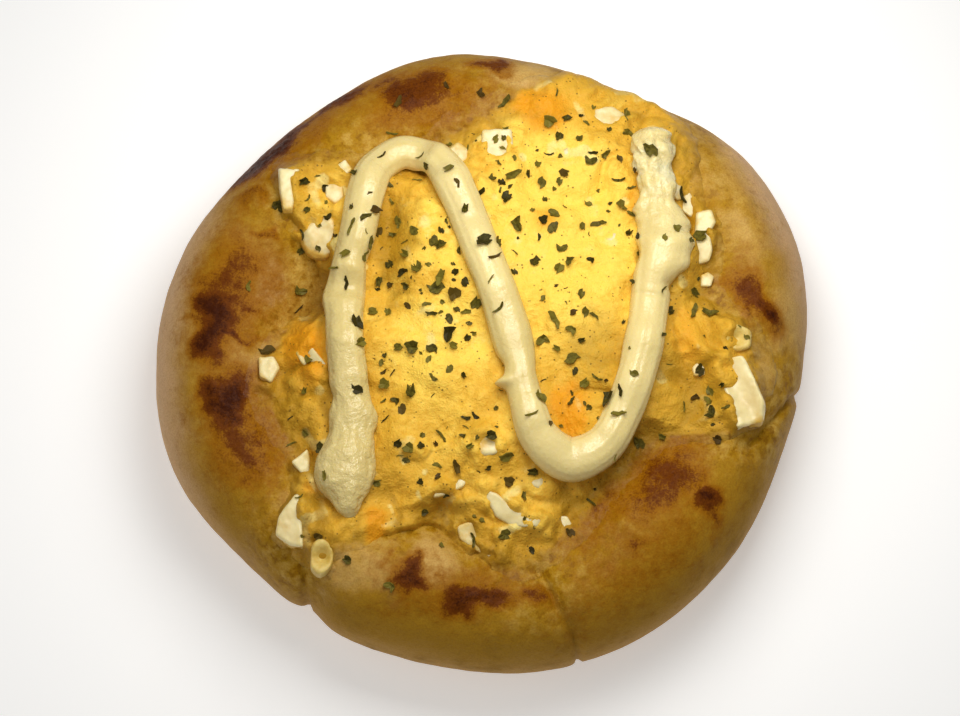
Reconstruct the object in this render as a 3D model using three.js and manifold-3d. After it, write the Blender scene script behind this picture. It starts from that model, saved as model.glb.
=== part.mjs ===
// Egg mayo bun: a soft round bun with a shallow hollow in its top, a heap of chopped egg
// salad in the hollow, a bead of mayonnaise piped over it as a rounded N, and parsley flakes.
//
// Millimetres, +Z up. The origin is on the ground under the middle of the bun, +X runs along
// its longer side, and the N stands upright when it is read from the -Y side.

import * as THREE from 'three';
import { mergeVertices } from 'three/addons/utils/BufferGeometryUtils.js';
import Module from 'manifold-3d';

const wasm = await Module();
wasm.setup();

// ---------------------------------------------------------------- driving dimensions

const TURN = 2 * Math.PI;
const DEGREE = TURN / 360;
const GAP = 0.35; // clearance that each piece keeps from the one it lies on
const SEAT_GAP = 0.5; // clearance round an egg piece, all sides

// Plan radius of the bun every 20 degrees, anticlockwise from +X.
const BUN_RADII = [
  57.4, 60.6, 60.6, 57.1, 56.8, 57.6, 55.5, 55.3, 57.3,
  57.9, 57.7, 54.5, 54.2, 54.0, 55.3, 56.0, 55.9, 55.5,
];
const BUN = {
  girthHeight: 11, // height of the widest part
  baseInset: 9, // from the girth in to the flat base
  crestHeight: 26,
  crestInset: 11, // from the girth in to the top of the rim
  hollowHeight: 11.5, // middle of the hollow under the salad
  hollowSlope: 30, // plan length of the slope from the rim to the hollow
  unevenness: 0.7,
  unevenSpan: 13,
  evenMargin: 4, // the relief fades over this width beside the girth
};
// Where the filling ran over, the rim is pressed down.
const SPILL = { angle: 62, spread: 17, drop: 4 };
// Folds in the rim, as grooves that fade at both ends.
const FOLDS = [
  { from: [-30.2, -36], to: [-30.6, -47], depth: 1.8, width: 2.2 },
  { from: [9.5, -39], to: [17, -53], depth: 1.3, width: 2.4 },
  { from: [46, -17], to: [57, -5], depth: 1.3, width: 2.2 },
];
// Swellings of the crumb under the crust.
const SWELLS = [
  { at: [-8.5, -38], radius: 6.5, rise: 2 },
  { at: [26, -29], radius: 12, rise: 3 },
  { at: [-42, 0], radius: 9, rise: 0.8 },
  { at: [-22, -40], radius: 7, rise: 0.9 },
];
const PINCH = { angle: 236, spread: 3.6, depth: 1.3 }; // where a fold meets the girth

// Plan radius of the salad every 12 degrees, anticlockwise from +X, round its own middle.
const SALAD_RADII = [
  42.5, 36, 40.3, 41.3, 47, 51, 51, 45, 40.4, 38.1,
  36, 41.2, 48.3, 37, 32.5, 38.8, 43.4, 42.3, 43.8, 52.3,
  42, 34.8, 39.2, 42, 38.2, 33.6, 32.1, 33, 43, 46,
];
const SALAD = {
  middle: [4, 3],
  crownHeight: 30.2,
  skirtHeight: 22.5, // height that the dome falls to at its round radius
  domeRadius: 46,
  domeFit: 0.4, // how far the dome follows the uneven outline
  domePower: 2.4,
  joinRise: 0.5, // fillet where the dome meets the layer on the rim
  cover: 1.9, // least thickness over the bread, away from the edge
  edgeStart: 0.88, // share of the radius where the edge starts to roll down
  edgeDepth: 1, // how far the edge rolls into the bread before it is cut
  rootDepth: 4,
  lumpHeight: 1.3,
  lumpSpan: 7,
  crumbHeight: 0.5,
  crumbSpan: 3.1,
};

// Middle line of the mayonnaise: x, y and the width of the bead there.
const BEAD_PATH = [
  [-22, -30.5, 8.6], [-23, -23.5, 10], [-22.4, -17.5, 8.2], [-22.4, -9.5, 7], [-23.3, -1, 6.2],
  [-23.5, 7, 6.3], [-22.9, 13, 6.1], [-21.3, 19.6, 6.2], [-20.2, 26.4, 6.4], [-18.2, 32, 6.2],
  [-13.6, 35.3, 6], [-7.8, 33, 6.2], [-3.8, 25.6, 6.6], [-0.1, 16, 6.7], [3.3, 6.6, 6.7],
  [5.9, -2.5, 6.6], [7.4, -10.5, 5.8], [9.6, -16.8, 6.6], [14.8, -20.4, 7.6], [20.6, -17.9, 7],
  [24.2, -11.5, 6.7], [27.2, -2.5, 6.7], [28.8, 6.6, 6.8], [29.8, 12.5, 7.4], [31, 17.5, 9.4],
  [31.3, 22.8, 7.8], [30.4, 29.4, 6.4], [29.8, 34.6, 7], [28.9, 39.4, 6.6],
];
const BEAD = {
  heightBase: 2.6,
  heightPerWidth: 0.3,
  shoulder: 1.5, // height of the bead's widest line over the salad
  root: 3.4, // how far it goes down from there, before it is cut to the salad
  sides: 10,
  rings: 58,
  endLength: 3,
  groundReach: 2.2, // the bead lies at the mean height this far to both sides
};

// Pieces of boiled egg that stand proud of the salad: middle, length and width in plan,
// turn, height over the salad, tilt and thickness.
const EGG_WHITES = {
  egg_white_right_chunk: { at: [44.3, -8.3], size: [12.4, 8], turn: 68, rise: 2.1, tilt: 9, thick: 5 },
  egg_white_low_wedge: { at: [-32.3, -29.6], size: [10.2, 4.8], turn: 78, rise: 1.8, tilt: 8, thick: 4 },
  egg_white_right_bar: { at: [38.9, 19.3], size: [9.6, 3.3], turn: 94, rise: 1.4, tilt: 4, thick: 4 },
  egg_white_long_slice: { at: [5.6, -28.6], size: [10.2, 4.4], turn: -24, rise: 1.1, tilt: 5, thick: 3.4 },
  egg_white_low_slice: { at: [-1, -34], size: [8, 4.3], turn: -26, rise: 1.2, tilt: -6, thick: 3.4 },
  egg_white_cream_lump: { at: [-28.6, 21.6], size: [9, 6.8], turn: 58, rise: 1.8, tilt: 6, thick: 4.6 },
  egg_white_cube: { at: [2.4, 36.4], size: [5.8, 5.1], turn: -4, rise: 1.5, tilt: 3, thick: 4.4 },
  egg_white_left_slice: { at: [-30.3, -2.6], size: [6.6, 4.6], turn: 100, rise: 1.3, tilt: 7, thick: 3.6 },
  egg_white_left_bar: { at: [-33.7, 27.6], size: [6.4, 2.8], turn: 88, rise: 1.5, tilt: 4, thick: 3.6 },
  egg_white_left_square: { at: [-36.9, -3.6], size: [5.3, 3.8], turn: 84, rise: 1.2, tilt: 6, thick: 3.2 },
  egg_white_flap: { at: [-31.2, -20.8], size: [5.2, 3.2], turn: 76, rise: 1.3, tilt: 5, thick: 3.4 },
  egg_white_middle_dice: { at: [0.4, -17.5], size: [5.8, 4.5], turn: 20, rise: 1.2, tilt: 4, thick: 3.8 },
};
const EGG_YOLKS = {
  egg_yolk_right_curl: { at: [43.4, 1.2], size: [6, 5.2], turn: 30, rise: 1.4, tilt: 6, thick: 4 },
  egg_yolk_left_curl: { at: [-26.9, -36.6], size: [7.6, 4.4], turn: 112, rise: 1.4, tilt: 5, thick: 3.8 },
};
// Rules for the cut pieces: how far their corners wander, and their common sizes.
const EGG_CUT = { corners: 5, wander: 0.7, leastReach: 0.94, moreReach: 0.16, widening: 1.1, dulling: 0.5 };
const DICE = { tilt: 4, thick: 2.6 };
// Small dice that are bound into the salad.
const SMALL_DICE = [
  { at: [-14.7, 27.6], size: [3.4, 2.9], turn: 12, rise: 0.8 },
  { at: [-10.6, 23.8], size: [3.6, 3.2], turn: 40, rise: 0.9 },
  { at: [16, 34], size: [4.3, 3.9], turn: -8, rise: 0.8 },
  { at: [22.5, 40.6], size: [5.1, 2.6], turn: 5, rise: 0.9 },
  { at: [10.6, -25.2], size: [4, 2.6], turn: 15, rise: 0.6 },
  { at: [-1, -0.6], size: [4.6, 4.1], turn: 30, rise: 0.8 },
  { at: [22, 19], size: [5.4, 5], turn: 25, rise: 0.8 },
  { at: [-28.3, 29.8], size: [4, 2], turn: 4, rise: 0.9 },
  { at: [-5.6, -24.9], size: [7, 1.9], turn: 28, rise: 0.8 },
  { at: [15.5, 6], size: [4.4, 3.6], turn: 60, rise: 0.7 },
  { at: [-14, 8], size: [4.2, 3.4], turn: -30, rise: 0.7 },
  { at: [-10.5, -12], size: [4.6, 3], turn: 15, rise: 0.7 },
  { at: [19, -30.5], size: [4.4, 2.8], turn: -50, rise: 0.7 },
  { at: [37, -14], size: [4, 3.2], turn: 35, rise: 0.7 },
];

const FLAKE = { least: 1.6, most: 3, thick: 0.95, proud: 0.5, corners: 5, slimmest: 0.75, widest: 1.1 };
const FLAKES_ON_SALAD = { count: 84, spacing: 4.3, reach: 0.86, attempts: 9000 };
const FLAKE_CLEARANCE = { fromBead: 1.4, fromEgg: 1 };
const SKY = 100; // height above all of the bun
const FLAKES_ON_BEAD = { count: 22, offset: 0.24 };
const FLAKES_ON_BREAD = [
  [-15, 45.5], [1, 50.5], [-6.5, 49.5], [-15.5, -41.5], [-20, -42], [-41, -15.5], [-42.5, 13], [29, -29],
];

const COLOURS = {
  bread: 0xb47d3c,
  salad: 0xf2c458,
  bead: 0xf7edb4,
  white: 0xe9d9a4,
  yolk: 0xe0ad3c,
};

// ---------------------------------------------------------------- shared rules of form

/** Repeatable number from 0 to 1 for a whole-number place. */
function scatter(i, j, seed = 0) {
  const wave = Math.sin(i * 12.9898 + j * 78.233 + seed * 37.719) * 43758.5453;
  return wave - Math.floor(wave);
}

const ease = (t) => t * t * (3 - 2 * t);
const clamp01 = (t) => Math.min(1, Math.max(0, t));
const mix = (a, b, t) => a + (b - a) * t;

/** Smooth uneven field from -1 to 1 with lumps about span across. */
function unevenness(x, y, span, seed) {
  const column = Math.floor(x / span);
  const row = Math.floor(y / span);
  const s = ease(x / span - column);
  const t = ease(y / span - row);
  const near = mix(scatter(column, row, seed), scatter(column + 1, row, seed), s);
  const far = mix(scatter(column, row + 1, seed), scatter(column + 1, row + 1, seed), s);
  return 2 * mix(near, far, t) - 1;
}

/** Smooth closed curve through values that are evenly spaced round a turn. */
function roundValue(values, angle) {
  const count = values.length;
  const place = ((angle / TURN) % 1 + 1) % 1 * count;
  const i = Math.floor(place);
  const t = place - i;
  const [a, b, c, d] = [-1, 0, 1, 2].map((k) => values[(i + k + count) % count]);
  return 0.5 * (2 * b + (c - a) * t + (2 * a - 5 * b + 4 * c - d) * t * t + (3 * b - a - 3 * c + d) * t ** 3);
}

/** Bell-shaped share of an angle in degrees near a middle angle. */
function nearAngle(angle, middle, spread) {
  const away = ((angle / DEGREE - middle + 540) % 360) - 180;
  return Math.exp(-((away / spread) ** 2));
}

/** Distance of a point from a straight line between two points. */
function awayFromLine(x, y, [x0, y0], [x1, y1]) {
  const [dx, dy] = [x1 - x0, y1 - y0];
  const t = clamp01(((x - x0) * dx + (y - y0) * dy) / (dx * dx + dy * dy));
  return Math.hypot(x - x0 - t * dx, y - y0 - t * dy);
}

function bunRadius(angle) {
  return roundValue(BUN_RADII, angle) - PINCH.depth * nearAngle(angle, PINCH.angle, PINCH.spread);
}

/** Folds, swellings and unevenness of the crust. */
function crustRelief(x, y) {
  let height = BUN.unevenness * unevenness(x, y, BUN.unevenSpan, 1);
  for (const { from, to, depth, width } of FOLDS) {
    height -= depth * Math.exp(-((awayFromLine(x, y, from, to) / width) ** 2));
  }
  for (const { at, radius, rise } of SWELLS) {
    height += rise * Math.exp(-(((x - at[0]) ** 2 + (y - at[1]) ** 2) / radius ** 2));
  }
  return height;
}

/** Height of the bread's upper side. */
function bunTop(x, y) {
  const angle = Math.atan2(y, x);
  const inset = Math.max(0, bunRadius(angle) - Math.hypot(x, y));
  const crest = BUN.crestHeight - SPILL.drop * nearAngle(angle, SPILL.angle, SPILL.spread);
  const out = 1 - Math.min(1, inset / BUN.crestInset);
  const rim = mix(BUN.girthHeight, crest, Math.sqrt(1 - out * out));
  const fall = ease(clamp01((inset - BUN.crestInset) / BUN.hollowSlope));
  return mix(rim, BUN.hollowHeight, fall) + crustRelief(x, y) * clamp01(inset / BUN.evenMargin);
}

function saladRadius(angle) {
  return roundValue(SALAD_RADII, angle);
}

/** Height of the salad's upper side. Past its edge it dips into the bread. */
function saladTop(x, y) {
  const [dx, dy] = [x - SALAD.middle[0], y - SALAD.middle[1]];
  const angle = Math.atan2(dy, dx);
  const radius = saladRadius(angle);
  const reach = Math.min(1, Math.hypot(dx, dy) / radius);
  const bread = bunTop(x, y);
  const share = Math.hypot(dx, dy) / mix(SALAD.domeRadius, radius, SALAD.domeFit);
  const dome = mix(SALAD.crownHeight, SALAD.skirtHeight, share ** SALAD.domePower);
  const least = bread + SALAD.cover;
  const level = Math.max(dome, least) + SALAD.joinRise * Math.exp(-Math.abs(dome - least));
  const lumps = SALAD.lumpHeight * unevenness(x, y, SALAD.lumpSpan, 2)
    + SALAD.crumbHeight * unevenness(x, y, SALAD.crumbSpan, 3);
  const roll = ease(clamp01((reach - SALAD.edgeStart) / (1 - SALAD.edgeStart)));
  return mix(level + lumps, bread - SALAD.edgeDepth, roll);
}

// ---------------------------------------------------------------- solids

/** Closed solid of a geometry, turned right side out if need be. */
function toSolid(geometry) {
  const bare = geometry.index ? geometry.clone() : geometry;
  bare.deleteAttribute('normal');
  bare.deleteAttribute('uv');
  const welded = mergeVertices(bare, 1e-4);
  const places = welded.attributes.position.array;
  const corners = [];
  for (let i = 0; i < welded.index.count; i += 3) {
    const [a, b, c] = welded.index.array.slice(i, i + 3);
    if (a !== b && b !== c && c !== a) corners.push(a, b, c);
  }
  const build = (triangles) => new wasm.Manifold(new wasm.Mesh({
    numProp: 3,
    vertProperties: new Float32Array(places),
    triVerts: new Uint32Array(triangles),
  }));
  const solid = build(corners);
  return solid.volume() > 0 ? solid : build(corners.reverse());
}

/** Closed skin of rings round an axis. place(turn, ring) gives each point. */
function ringSolid(columns, rings, place) {
  const geometry = new THREE.SphereGeometry(1, columns, rings);
  const points = geometry.attributes.position;
  for (let ring = 0; ring <= rings; ring += 1) {
    for (let column = 0; column <= columns; column += 1) {
      const [x, y, z] = place(((column % columns) / columns) * TURN, ring);
      points.setXYZ(ring * (columns + 1) + column, x, y, z);
    }
  }
  return toSolid(geometry);
}

/** The bun: hollow and rim above, rounded side and flat base below. */
function makeBun() {
  const columns = 66;
  const rimSteps = 6;
  const sideSteps = 4;
  const insets = [40, 31, 25, 20.5, 17, 13.8];
  for (let i = rimSteps; i >= 0; i -= 1) {
    insets.push(BUN.crestInset * (1 - Math.cos((i / rimSteps) * TURN / 4)));
  }
  const rings = insets.length + sideSteps + 2;
  return ringSolid(columns, rings, (turn, ring) => {
    const [c, s] = [Math.cos(turn), Math.sin(turn)];
    const radius = bunRadius(turn);
    if (ring === 0) return [0, 0, bunTop(0, 0)];
    if (ring === rings) return [0, 0, 0];
    if (ring <= insets.length) {
      const r = radius - insets[ring - 1];
      return [r * c, r * s, bunTop(r * c, r * s)];
    }
    const down = Math.min(1, (ring - insets.length) / sideSteps) * TURN / 4;
    const inset = BUN.baseInset * (1 - Math.cos(down));
    const r = ring === rings - 1 ? radius * 0.5 : radius - inset;
    return [r * c, r * s, BUN.girthHeight * (1 - Math.sin(down))];
  });
}

/** The salad before it is cut to the bread: its underside is inside the bread. */
function makeSaladBlank() {
  const columns = 66;
  const upper = [0, 0.1, 0.2, 0.3, 0.4, 0.5, 0.59, 0.68, 0.76, 0.83, 0.89, 0.94, 0.975, 1];
  const lower = [0.95, 0.7, 0.35, 0];
  const rings = upper.length + lower.length - 1;
  return ringSolid(columns, rings, (turn, ring) => {
    const above = ring < upper.length;
    const reach = above ? upper[ring] : lower[ring - upper.length];
    const radius = saladRadius(turn) * reach;
    const x = SALAD.middle[0] + radius * Math.cos(turn);
    const y = SALAD.middle[1] + radius * Math.sin(turn);
    return [x, y, above ? saladTop(x, y) : bunTop(x, y) - SALAD.rootDepth];
  });
}

/** Middle line of the bead, with its width carried as the third value. */
const beadLine = new THREE.CatmullRomCurve3(
  BEAD_PATH.map(([x, y, width]) => new THREE.Vector3(x, y, width)),
  false,
  'centripetal',
);

/** The bead before it is cut to the salad, with rounded ends. */
function makeBeadBlank() {
  const length = beadLine.getLength();
  return ringSolid(BEAD.sides, BEAD.rings, (turn, ring) => {
    const share = ring / BEAD.rings;
    const middle = beadLine.getPointAt(share);
    const along = beadLine.getTangentAt(share);
    const across = new THREE.Vector2(along.y, -along.x).normalize();
    const fromEnd = Math.min(share, 1 - share) * length;
    const t = clamp01(fromEnd / BEAD.endLength);
    const taper = Math.sqrt(t * (2 - t));
    const width = middle.z * taper;
    const height = (BEAD.heightBase + BEAD.heightPerWidth * middle.z - BEAD.shoulder) * taper;
    const side = (Math.cos(turn) * width) / 2;
    const heights = [-BEAD.groundReach, 0, BEAD.groundReach].map(
      (offset) => saladTop(middle.x + across.x * offset, middle.y + across.y * offset),
    );
    const ground = (heights[0] + heights[1] + heights[2]) / 3;
    const lift = Math.sin(turn) * (Math.sin(turn) > 0 ? height : BEAD.root * taper);
    return [middle.x + across.x * side, middle.y + across.y * side, ground + BEAD.shoulder * taper + lift];
  });
}

/** A cut piece of egg with dulled edges. grow widens it all round, to cut its seat. */
function makeEggPiece({ at, size, turn, rise, tilt, thick }, grow = 0) {
  const [x, y] = at;
  const corners = EGG_CUT.corners + Math.round(scatter(Math.round(10 * x), Math.round(10 * y), 4));
  const dulling = Math.min(EGG_CUT.dulling, size[1] / 6);
  const outline = new THREE.Shape();
  for (let i = 0; i < corners; i += 1) {
    const angle = ((i + 0.5 + EGG_CUT.wander * (scatter(i, Math.round(10 * x), 5) - 0.5)) / corners) * TURN;
    const fullness = EGG_CUT.leastReach + EGG_CUT.moreReach * scatter(Math.round(10 * y), i, 6);
    const px = Math.cos(angle) * fullness * (size[0] / 2 + grow);
    const py = Math.sin(angle) * fullness * (size[1] / 2 + grow) * EGG_CUT.widening;
    if (i === 0) outline.moveTo(px, py);
    else outline.lineTo(px, py);
  }
  outline.closePath();
  const height = thick + 2 * grow;
  const geometry = new THREE.ExtrudeGeometry(outline, {
    depth: height - 2 * dulling,
    bevelEnabled: true,
    bevelSegments: 1,
    bevelSize: dulling,
    bevelOffset: -dulling,
    bevelThickness: dulling,
  });
  geometry.translate(0, 0, dulling - height / 2);
  geometry.rotateX(tilt * DEGREE);
  geometry.rotateZ(turn * DEGREE);
  const ground = Math.max(saladTop(x, y), bunTop(x, y) + SALAD.cover);
  geometry.translate(x, y, ground + rise - thick / 2);
  return toSolid(geometry);
}

/** Three.js geometry of a solid. */
function toGeometry(solid) {
  const { vertProperties, triVerts, numProp } = solid.getMesh();
  const points = new Float32Array((vertProperties.length / numProp) * 3);
  for (let i = 0; i < points.length / 3; i += 1) {
    points.set(vertProperties.slice(i * numProp, i * numProp + 3), i * 3);
  }
  const geometry = new THREE.BufferGeometry();
  geometry.setAttribute('position', new THREE.BufferAttribute(points, 3));
  geometry.setIndex([...triVerts]);
  return geometry;
}

/** Largest body of a solid, without loose scraps that a cut left. */
function mainBody(solid) {
  return solid.decompose().reduce((best, body) => (body.volume() > best.volume() ? body : best));
}

const raise = (solid, height) => solid.translate([0, 0, height]);

// ---------------------------------------------------------------- parsley

/** A thin five-cornered flake that lies on a surface at a place found from above. */
function makeFlake(surface, x, y, key) {
  const ray = new THREE.Raycaster(new THREE.Vector3(x, y, SKY), new THREE.Vector3(0, 0, -1));
  const [hit] = ray.intersectObject(surface);
  const size = mix(FLAKE.least, FLAKE.most, scatter(key, 1, 7));
  const outline = new THREE.Shape();
  for (let i = 0; i < FLAKE.corners; i += 1) {
    const angle = ((i + 0.5 * scatter(key, i, 8)) / FLAKE.corners) * TURN;
    const radius = (size / 2) * mix(FLAKE.slimmest, FLAKE.widest, scatter(key, i, 9));
    if (i === 0) outline.moveTo(radius * Math.cos(angle), radius * Math.sin(angle));
    else outline.lineTo(radius * Math.cos(angle), radius * Math.sin(angle));
  }
  outline.closePath();
  const geometry = new THREE.ExtrudeGeometry(outline, { depth: FLAKE.thick, bevelEnabled: false });
  geometry.translate(0, 0, FLAKE.proud - FLAKE.thick);
  const lie = new THREE.Quaternion().setFromUnitVectors(new THREE.Vector3(0, 0, 1), hit.face.normal);
  geometry.applyQuaternion(lie);
  geometry.translate(hit.point.x, hit.point.y, hit.point.z);
  return toSolid(geometry);
}

/** Whether a place is clear of the bead and of the loose egg pieces. */
function isClear(x, y) {
  const reach = FLAKE.most / 2;
  for (let i = 0; i < BEAD_PATH.length - 1; i += 1) {
    const width = Math.max(BEAD_PATH[i][2], BEAD_PATH[i + 1][2]);
    const away = awayFromLine(x, y, BEAD_PATH[i], BEAD_PATH[i + 1]);
    if (away < width / 2 + reach + FLAKE_CLEARANCE.fromBead) return false;
  }
  return Object.values({ ...EGG_WHITES, ...EGG_YOLKS }).every(({ at, size, turn }) => {
    const half = Math.max(0, (size[0] - size[1]) / 2);
    const [dx, dy] = [half * Math.cos(turn * DEGREE), half * Math.sin(turn * DEGREE)];
    const away = awayFromLine(x, y, [at[0] - dx, at[1] - dy], [at[0] + dx + 0.01, at[1] + dy]);
    return away > size[1] / 2 + reach + FLAKE_CLEARANCE.fromEgg;
  });
}

/** Places spread evenly over the salad, off the bead and off the egg pieces. */
function saladFlakePlaces() {
  const places = [];
  for (let attempt = 0; places.length < FLAKES_ON_SALAD.count && attempt < FLAKES_ON_SALAD.attempts; attempt += 1) {
    const turn = scatter(attempt, 2, 11) * TURN;
    const radius = saladRadius(turn) * FLAKES_ON_SALAD.reach * Math.sqrt(scatter(attempt, 3, 12));
    const x = SALAD.middle[0] + radius * Math.cos(turn);
    const y = SALAD.middle[1] + radius * Math.sin(turn);
    const isApart = places.every(([px, py]) => Math.hypot(px - x, py - y) > FLAKES_ON_SALAD.spacing);
    if (isApart && isClear(x, y)) places.push([x, y]);
  }
  return places;
}

/** Places along the bead, a little to either side of its middle line. */
function beadFlakePlaces() {
  return Array.from({ length: FLAKES_ON_BEAD.count }, (_, i) => {
    const share = (i + 0.3 + 0.4 * scatter(i, 4, 13)) / FLAKES_ON_BEAD.count;
    const middle = beadLine.getPointAt(share);
    const along = beadLine.getTangentAt(share);
    const across = new THREE.Vector2(along.y, -along.x).normalize();
    const offset = middle.z * FLAKES_ON_BEAD.offset * (2 * scatter(i, 5, 14) - 1);
    return [middle.x + across.x * offset, middle.y + across.y * offset];
  });
}

/** Joins flakes to the solid that they lie on. */
function addFlakes(solid, places, firstKey) {
  const surface = new THREE.Mesh(toGeometry(solid), new THREE.MeshBasicMaterial());
  return mainBody(places.reduce(
    (whole, [x, y], i) => whole.add(makeFlake(surface, x, y, firstKey + i)),
    solid,
  ));
}

// ---------------------------------------------------------------- assembly

function makeMesh(name, solid, colour, roughness) {
  const material = new THREE.MeshStandardMaterial({ color: colour, roughness, metalness: 0 });
  const mesh = new THREE.Mesh(toGeometry(solid), material);
  mesh.name = name;
  return mesh;
}

const bun = makeBun();
const bunClearance = raise(bun, GAP);
const eggSpecs = Object.entries({ ...EGG_WHITES, ...EGG_YOLKS });
const seats = eggSpecs.map(([, spec]) => makeEggPiece(spec, SEAT_GAP));

let salad = makeSaladBlank();
for (const dice of SMALL_DICE) salad = salad.add(makeEggPiece({ ...DICE, ...dice }));
salad = salad.subtract(bunClearance);
for (const seat of seats) salad = salad.subtract(seat);
salad = mainBody(salad);

let bead = makeBeadBlank().subtract(bunClearance).subtract(salad).subtract(raise(salad, GAP));
for (const seat of seats) bead = bead.subtract(seat);
bead = mainBody(bead);

const model = new THREE.Group();
model.add(makeMesh('bread_bun', addFlakes(bun, FLAKES_ON_BREAD, 500), COLOURS.bread, 0.6));
model.add(makeMesh('egg_salad', addFlakes(salad, saladFlakePlaces(), 0), COLOURS.salad, 0.45));
model.add(makeMesh('mayonnaise', addFlakes(bead, beadFlakePlaces(), 300), COLOURS.bead, 0.35));
for (const [name, spec] of eggSpecs) {
  const piece = mainBody(makeEggPiece(spec).subtract(bunClearance));
  model.add(makeMesh(name, piece, name in EGG_WHITES ? COLOURS.white : COLOURS.yolk, 0.4));
}

// The origin is under the middle of the bun's plan.
const middle = new THREE.Box3().setFromObject(model).getCenter(new THREE.Vector3());
model.position.set(-middle.x, -middle.y, 0);

export default model;
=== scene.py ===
"""Looks of an egg mayo bun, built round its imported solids.

The bun, the salad, the bead of mayonnaise, the pieces of egg and the parsley are modelled
as meshes at true size. Lengths in the dataclasses are millimetres in plan coordinates,
whose origin lies a little off the frame's; Plan.to_frame turns them into metres.
"""

import logging
import math
from dataclasses import dataclass, field
from enum import Enum
from typing import Any, Sequence

import bpy
import numpy as np
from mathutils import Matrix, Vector
from mathutils.bvhtree import BVHTree

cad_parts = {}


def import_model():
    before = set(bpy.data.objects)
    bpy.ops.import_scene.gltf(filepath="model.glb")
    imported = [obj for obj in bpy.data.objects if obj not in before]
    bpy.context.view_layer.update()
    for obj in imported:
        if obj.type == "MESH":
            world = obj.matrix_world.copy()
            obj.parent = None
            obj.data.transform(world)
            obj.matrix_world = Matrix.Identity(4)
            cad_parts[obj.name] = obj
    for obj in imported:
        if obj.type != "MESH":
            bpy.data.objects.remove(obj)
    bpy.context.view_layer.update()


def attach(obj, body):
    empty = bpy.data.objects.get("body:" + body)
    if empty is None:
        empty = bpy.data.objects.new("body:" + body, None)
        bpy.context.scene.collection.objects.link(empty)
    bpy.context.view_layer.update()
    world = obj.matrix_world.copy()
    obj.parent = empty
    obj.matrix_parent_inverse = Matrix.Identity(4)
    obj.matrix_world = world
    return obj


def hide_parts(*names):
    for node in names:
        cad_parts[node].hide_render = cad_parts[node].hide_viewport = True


LOG = logging.getLogger("egg_mayo_bun")
MM = 0.001
TURN = 2 * math.pi
FAR = 99.0  # more than any distance that is compared
OCTAVES = 3  # fields that are summed in a rough one
PATCH_WAVER = 4.5  # size of the bends along the edge of a patch

Points = np.ndarray
Pair = tuple[float, float]
Piece = bpy.types.Object
Socket = bpy.types.NodeSocket


# ---- shared rules of form


def turned(degrees: float) -> Pair:
    """Cosine and sine of an angle in degrees."""
    return math.cos(math.radians(degrees)), math.sin(math.radians(degrees))


def bell(away: Points, spread: float) -> Points:
    """Bell-shaped share: full at no distance, and about a third at the spread."""
    return np.exp(-((away / spread) ** 2))


def scatter(i: Points, j: Points, seed: float) -> Points:
    """Repeatable numbers from 0 to 1 for whole-number places.

    Args:
        i: First place number.
        j: Second place number.
        seed: Picks another set of numbers.

    Returns:
        One number for each place.
    """
    wave = np.sin(i * 12.9898 + j * 78.233 + seed * 37.719) * 43758.5453
    return wave - np.floor(wave)


def ease(t: Points) -> Points:
    """Smooth step of a share that is clipped to 0..1."""
    t = np.clip(t, 0.0, 1.0)
    return t * t * (3 - 2 * t)


def ramp(value: Points, start: float, run: float) -> Points:
    """Smooth step that begins at a value and is full a run further on."""
    return ease((value - start) / run)


def mix(a: Points, b: Points, t: Points) -> Points:
    """Straight blend from a to b."""
    return a + (b - a) * t


def uneven(x: Points, y: Points, span: float, seed: float) -> Points:
    """Smooth uneven field from -1 to 1 with lumps about span across.

    Args:
        x, y: Plan coordinates.
        span: Size of the lumps.
        seed: Picks another field.

    Returns:
        The field at each point.
    """
    column, row = np.floor(x / span), np.floor(y / span)
    s, t = ease(x / span - column), ease(y / span - row)
    near = mix(scatter(column, row, seed), scatter(column + 1, row, seed), s)
    far = mix(scatter(column, row + 1, seed), scatter(column + 1, row + 1, seed), s)
    return 2 * mix(near, far, t) - 1


def rough(x: Points, y: Points, span: float, seed: float) -> Points:
    """Sum of turned uneven fields, each half the span and strength of the last.

    Args:
        x, y: Plan coordinates.
        span: Size of the largest lumps.
        seed: Picks another field.

    Returns:
        The field from -1 to 1 at each point.
    """
    total, strength = 0.0, 0.0
    for k in range(OCTAVES):
        turn = 1.1 * k + seed
        c, s = math.cos(turn), math.sin(turn)
        share = 0.5**k
        total = total + share * uneven(c * x - s * y, s * x + c * y, span * share, seed + 11 * k)
        strength += share
    return total / strength


def waver(x: Points, y: Points, reach: float, span: float, seed: float) -> tuple[Points, Points]:
    """Points moved about unevenly, so that what is drawn at them wavers.

    Args:
        x, y: Plan coordinates.
        reach: How far points move at most.
        span: Size of the bends.
        seed: Picks other bends.

    Returns:
        The moved coordinates.
    """
    return x + reach * rough(x, y, span, seed), y + reach * rough(x, y, span, seed + 1)


def pebbles(x: Points, y: Points, span: float, seed: float) -> Points:
    """Rounded lumps that meet in creases.

    Args:
        x, y: Plan coordinates.
        span: Distance between neighbouring lumps.
        seed: Picks another layout.

    Returns:
        Height from 0 in the creases to about 1 on the lumps.
    """
    stray = 0.8
    crease_width = 0.625
    column, row = np.floor(x / span), np.floor(y / span)
    first = np.full(np.shape(x), FAR)
    second = np.full(np.shape(x), FAR)
    for di in (-1, 0, 1):
        for dj in (-1, 0, 1):
            i, j = column + di, row + dj
            px = i + 0.5 + stray * (scatter(i, j, seed) - 0.5)
            py = j + 0.5 + stray * (scatter(i, j, seed + 3) - 0.5)
            away = np.hypot(x / span - px, y / span - py)
            second = np.minimum(second, np.maximum(first, away))
            first = np.minimum(first, away)
    return ease((second - first) / crease_width)


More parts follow.
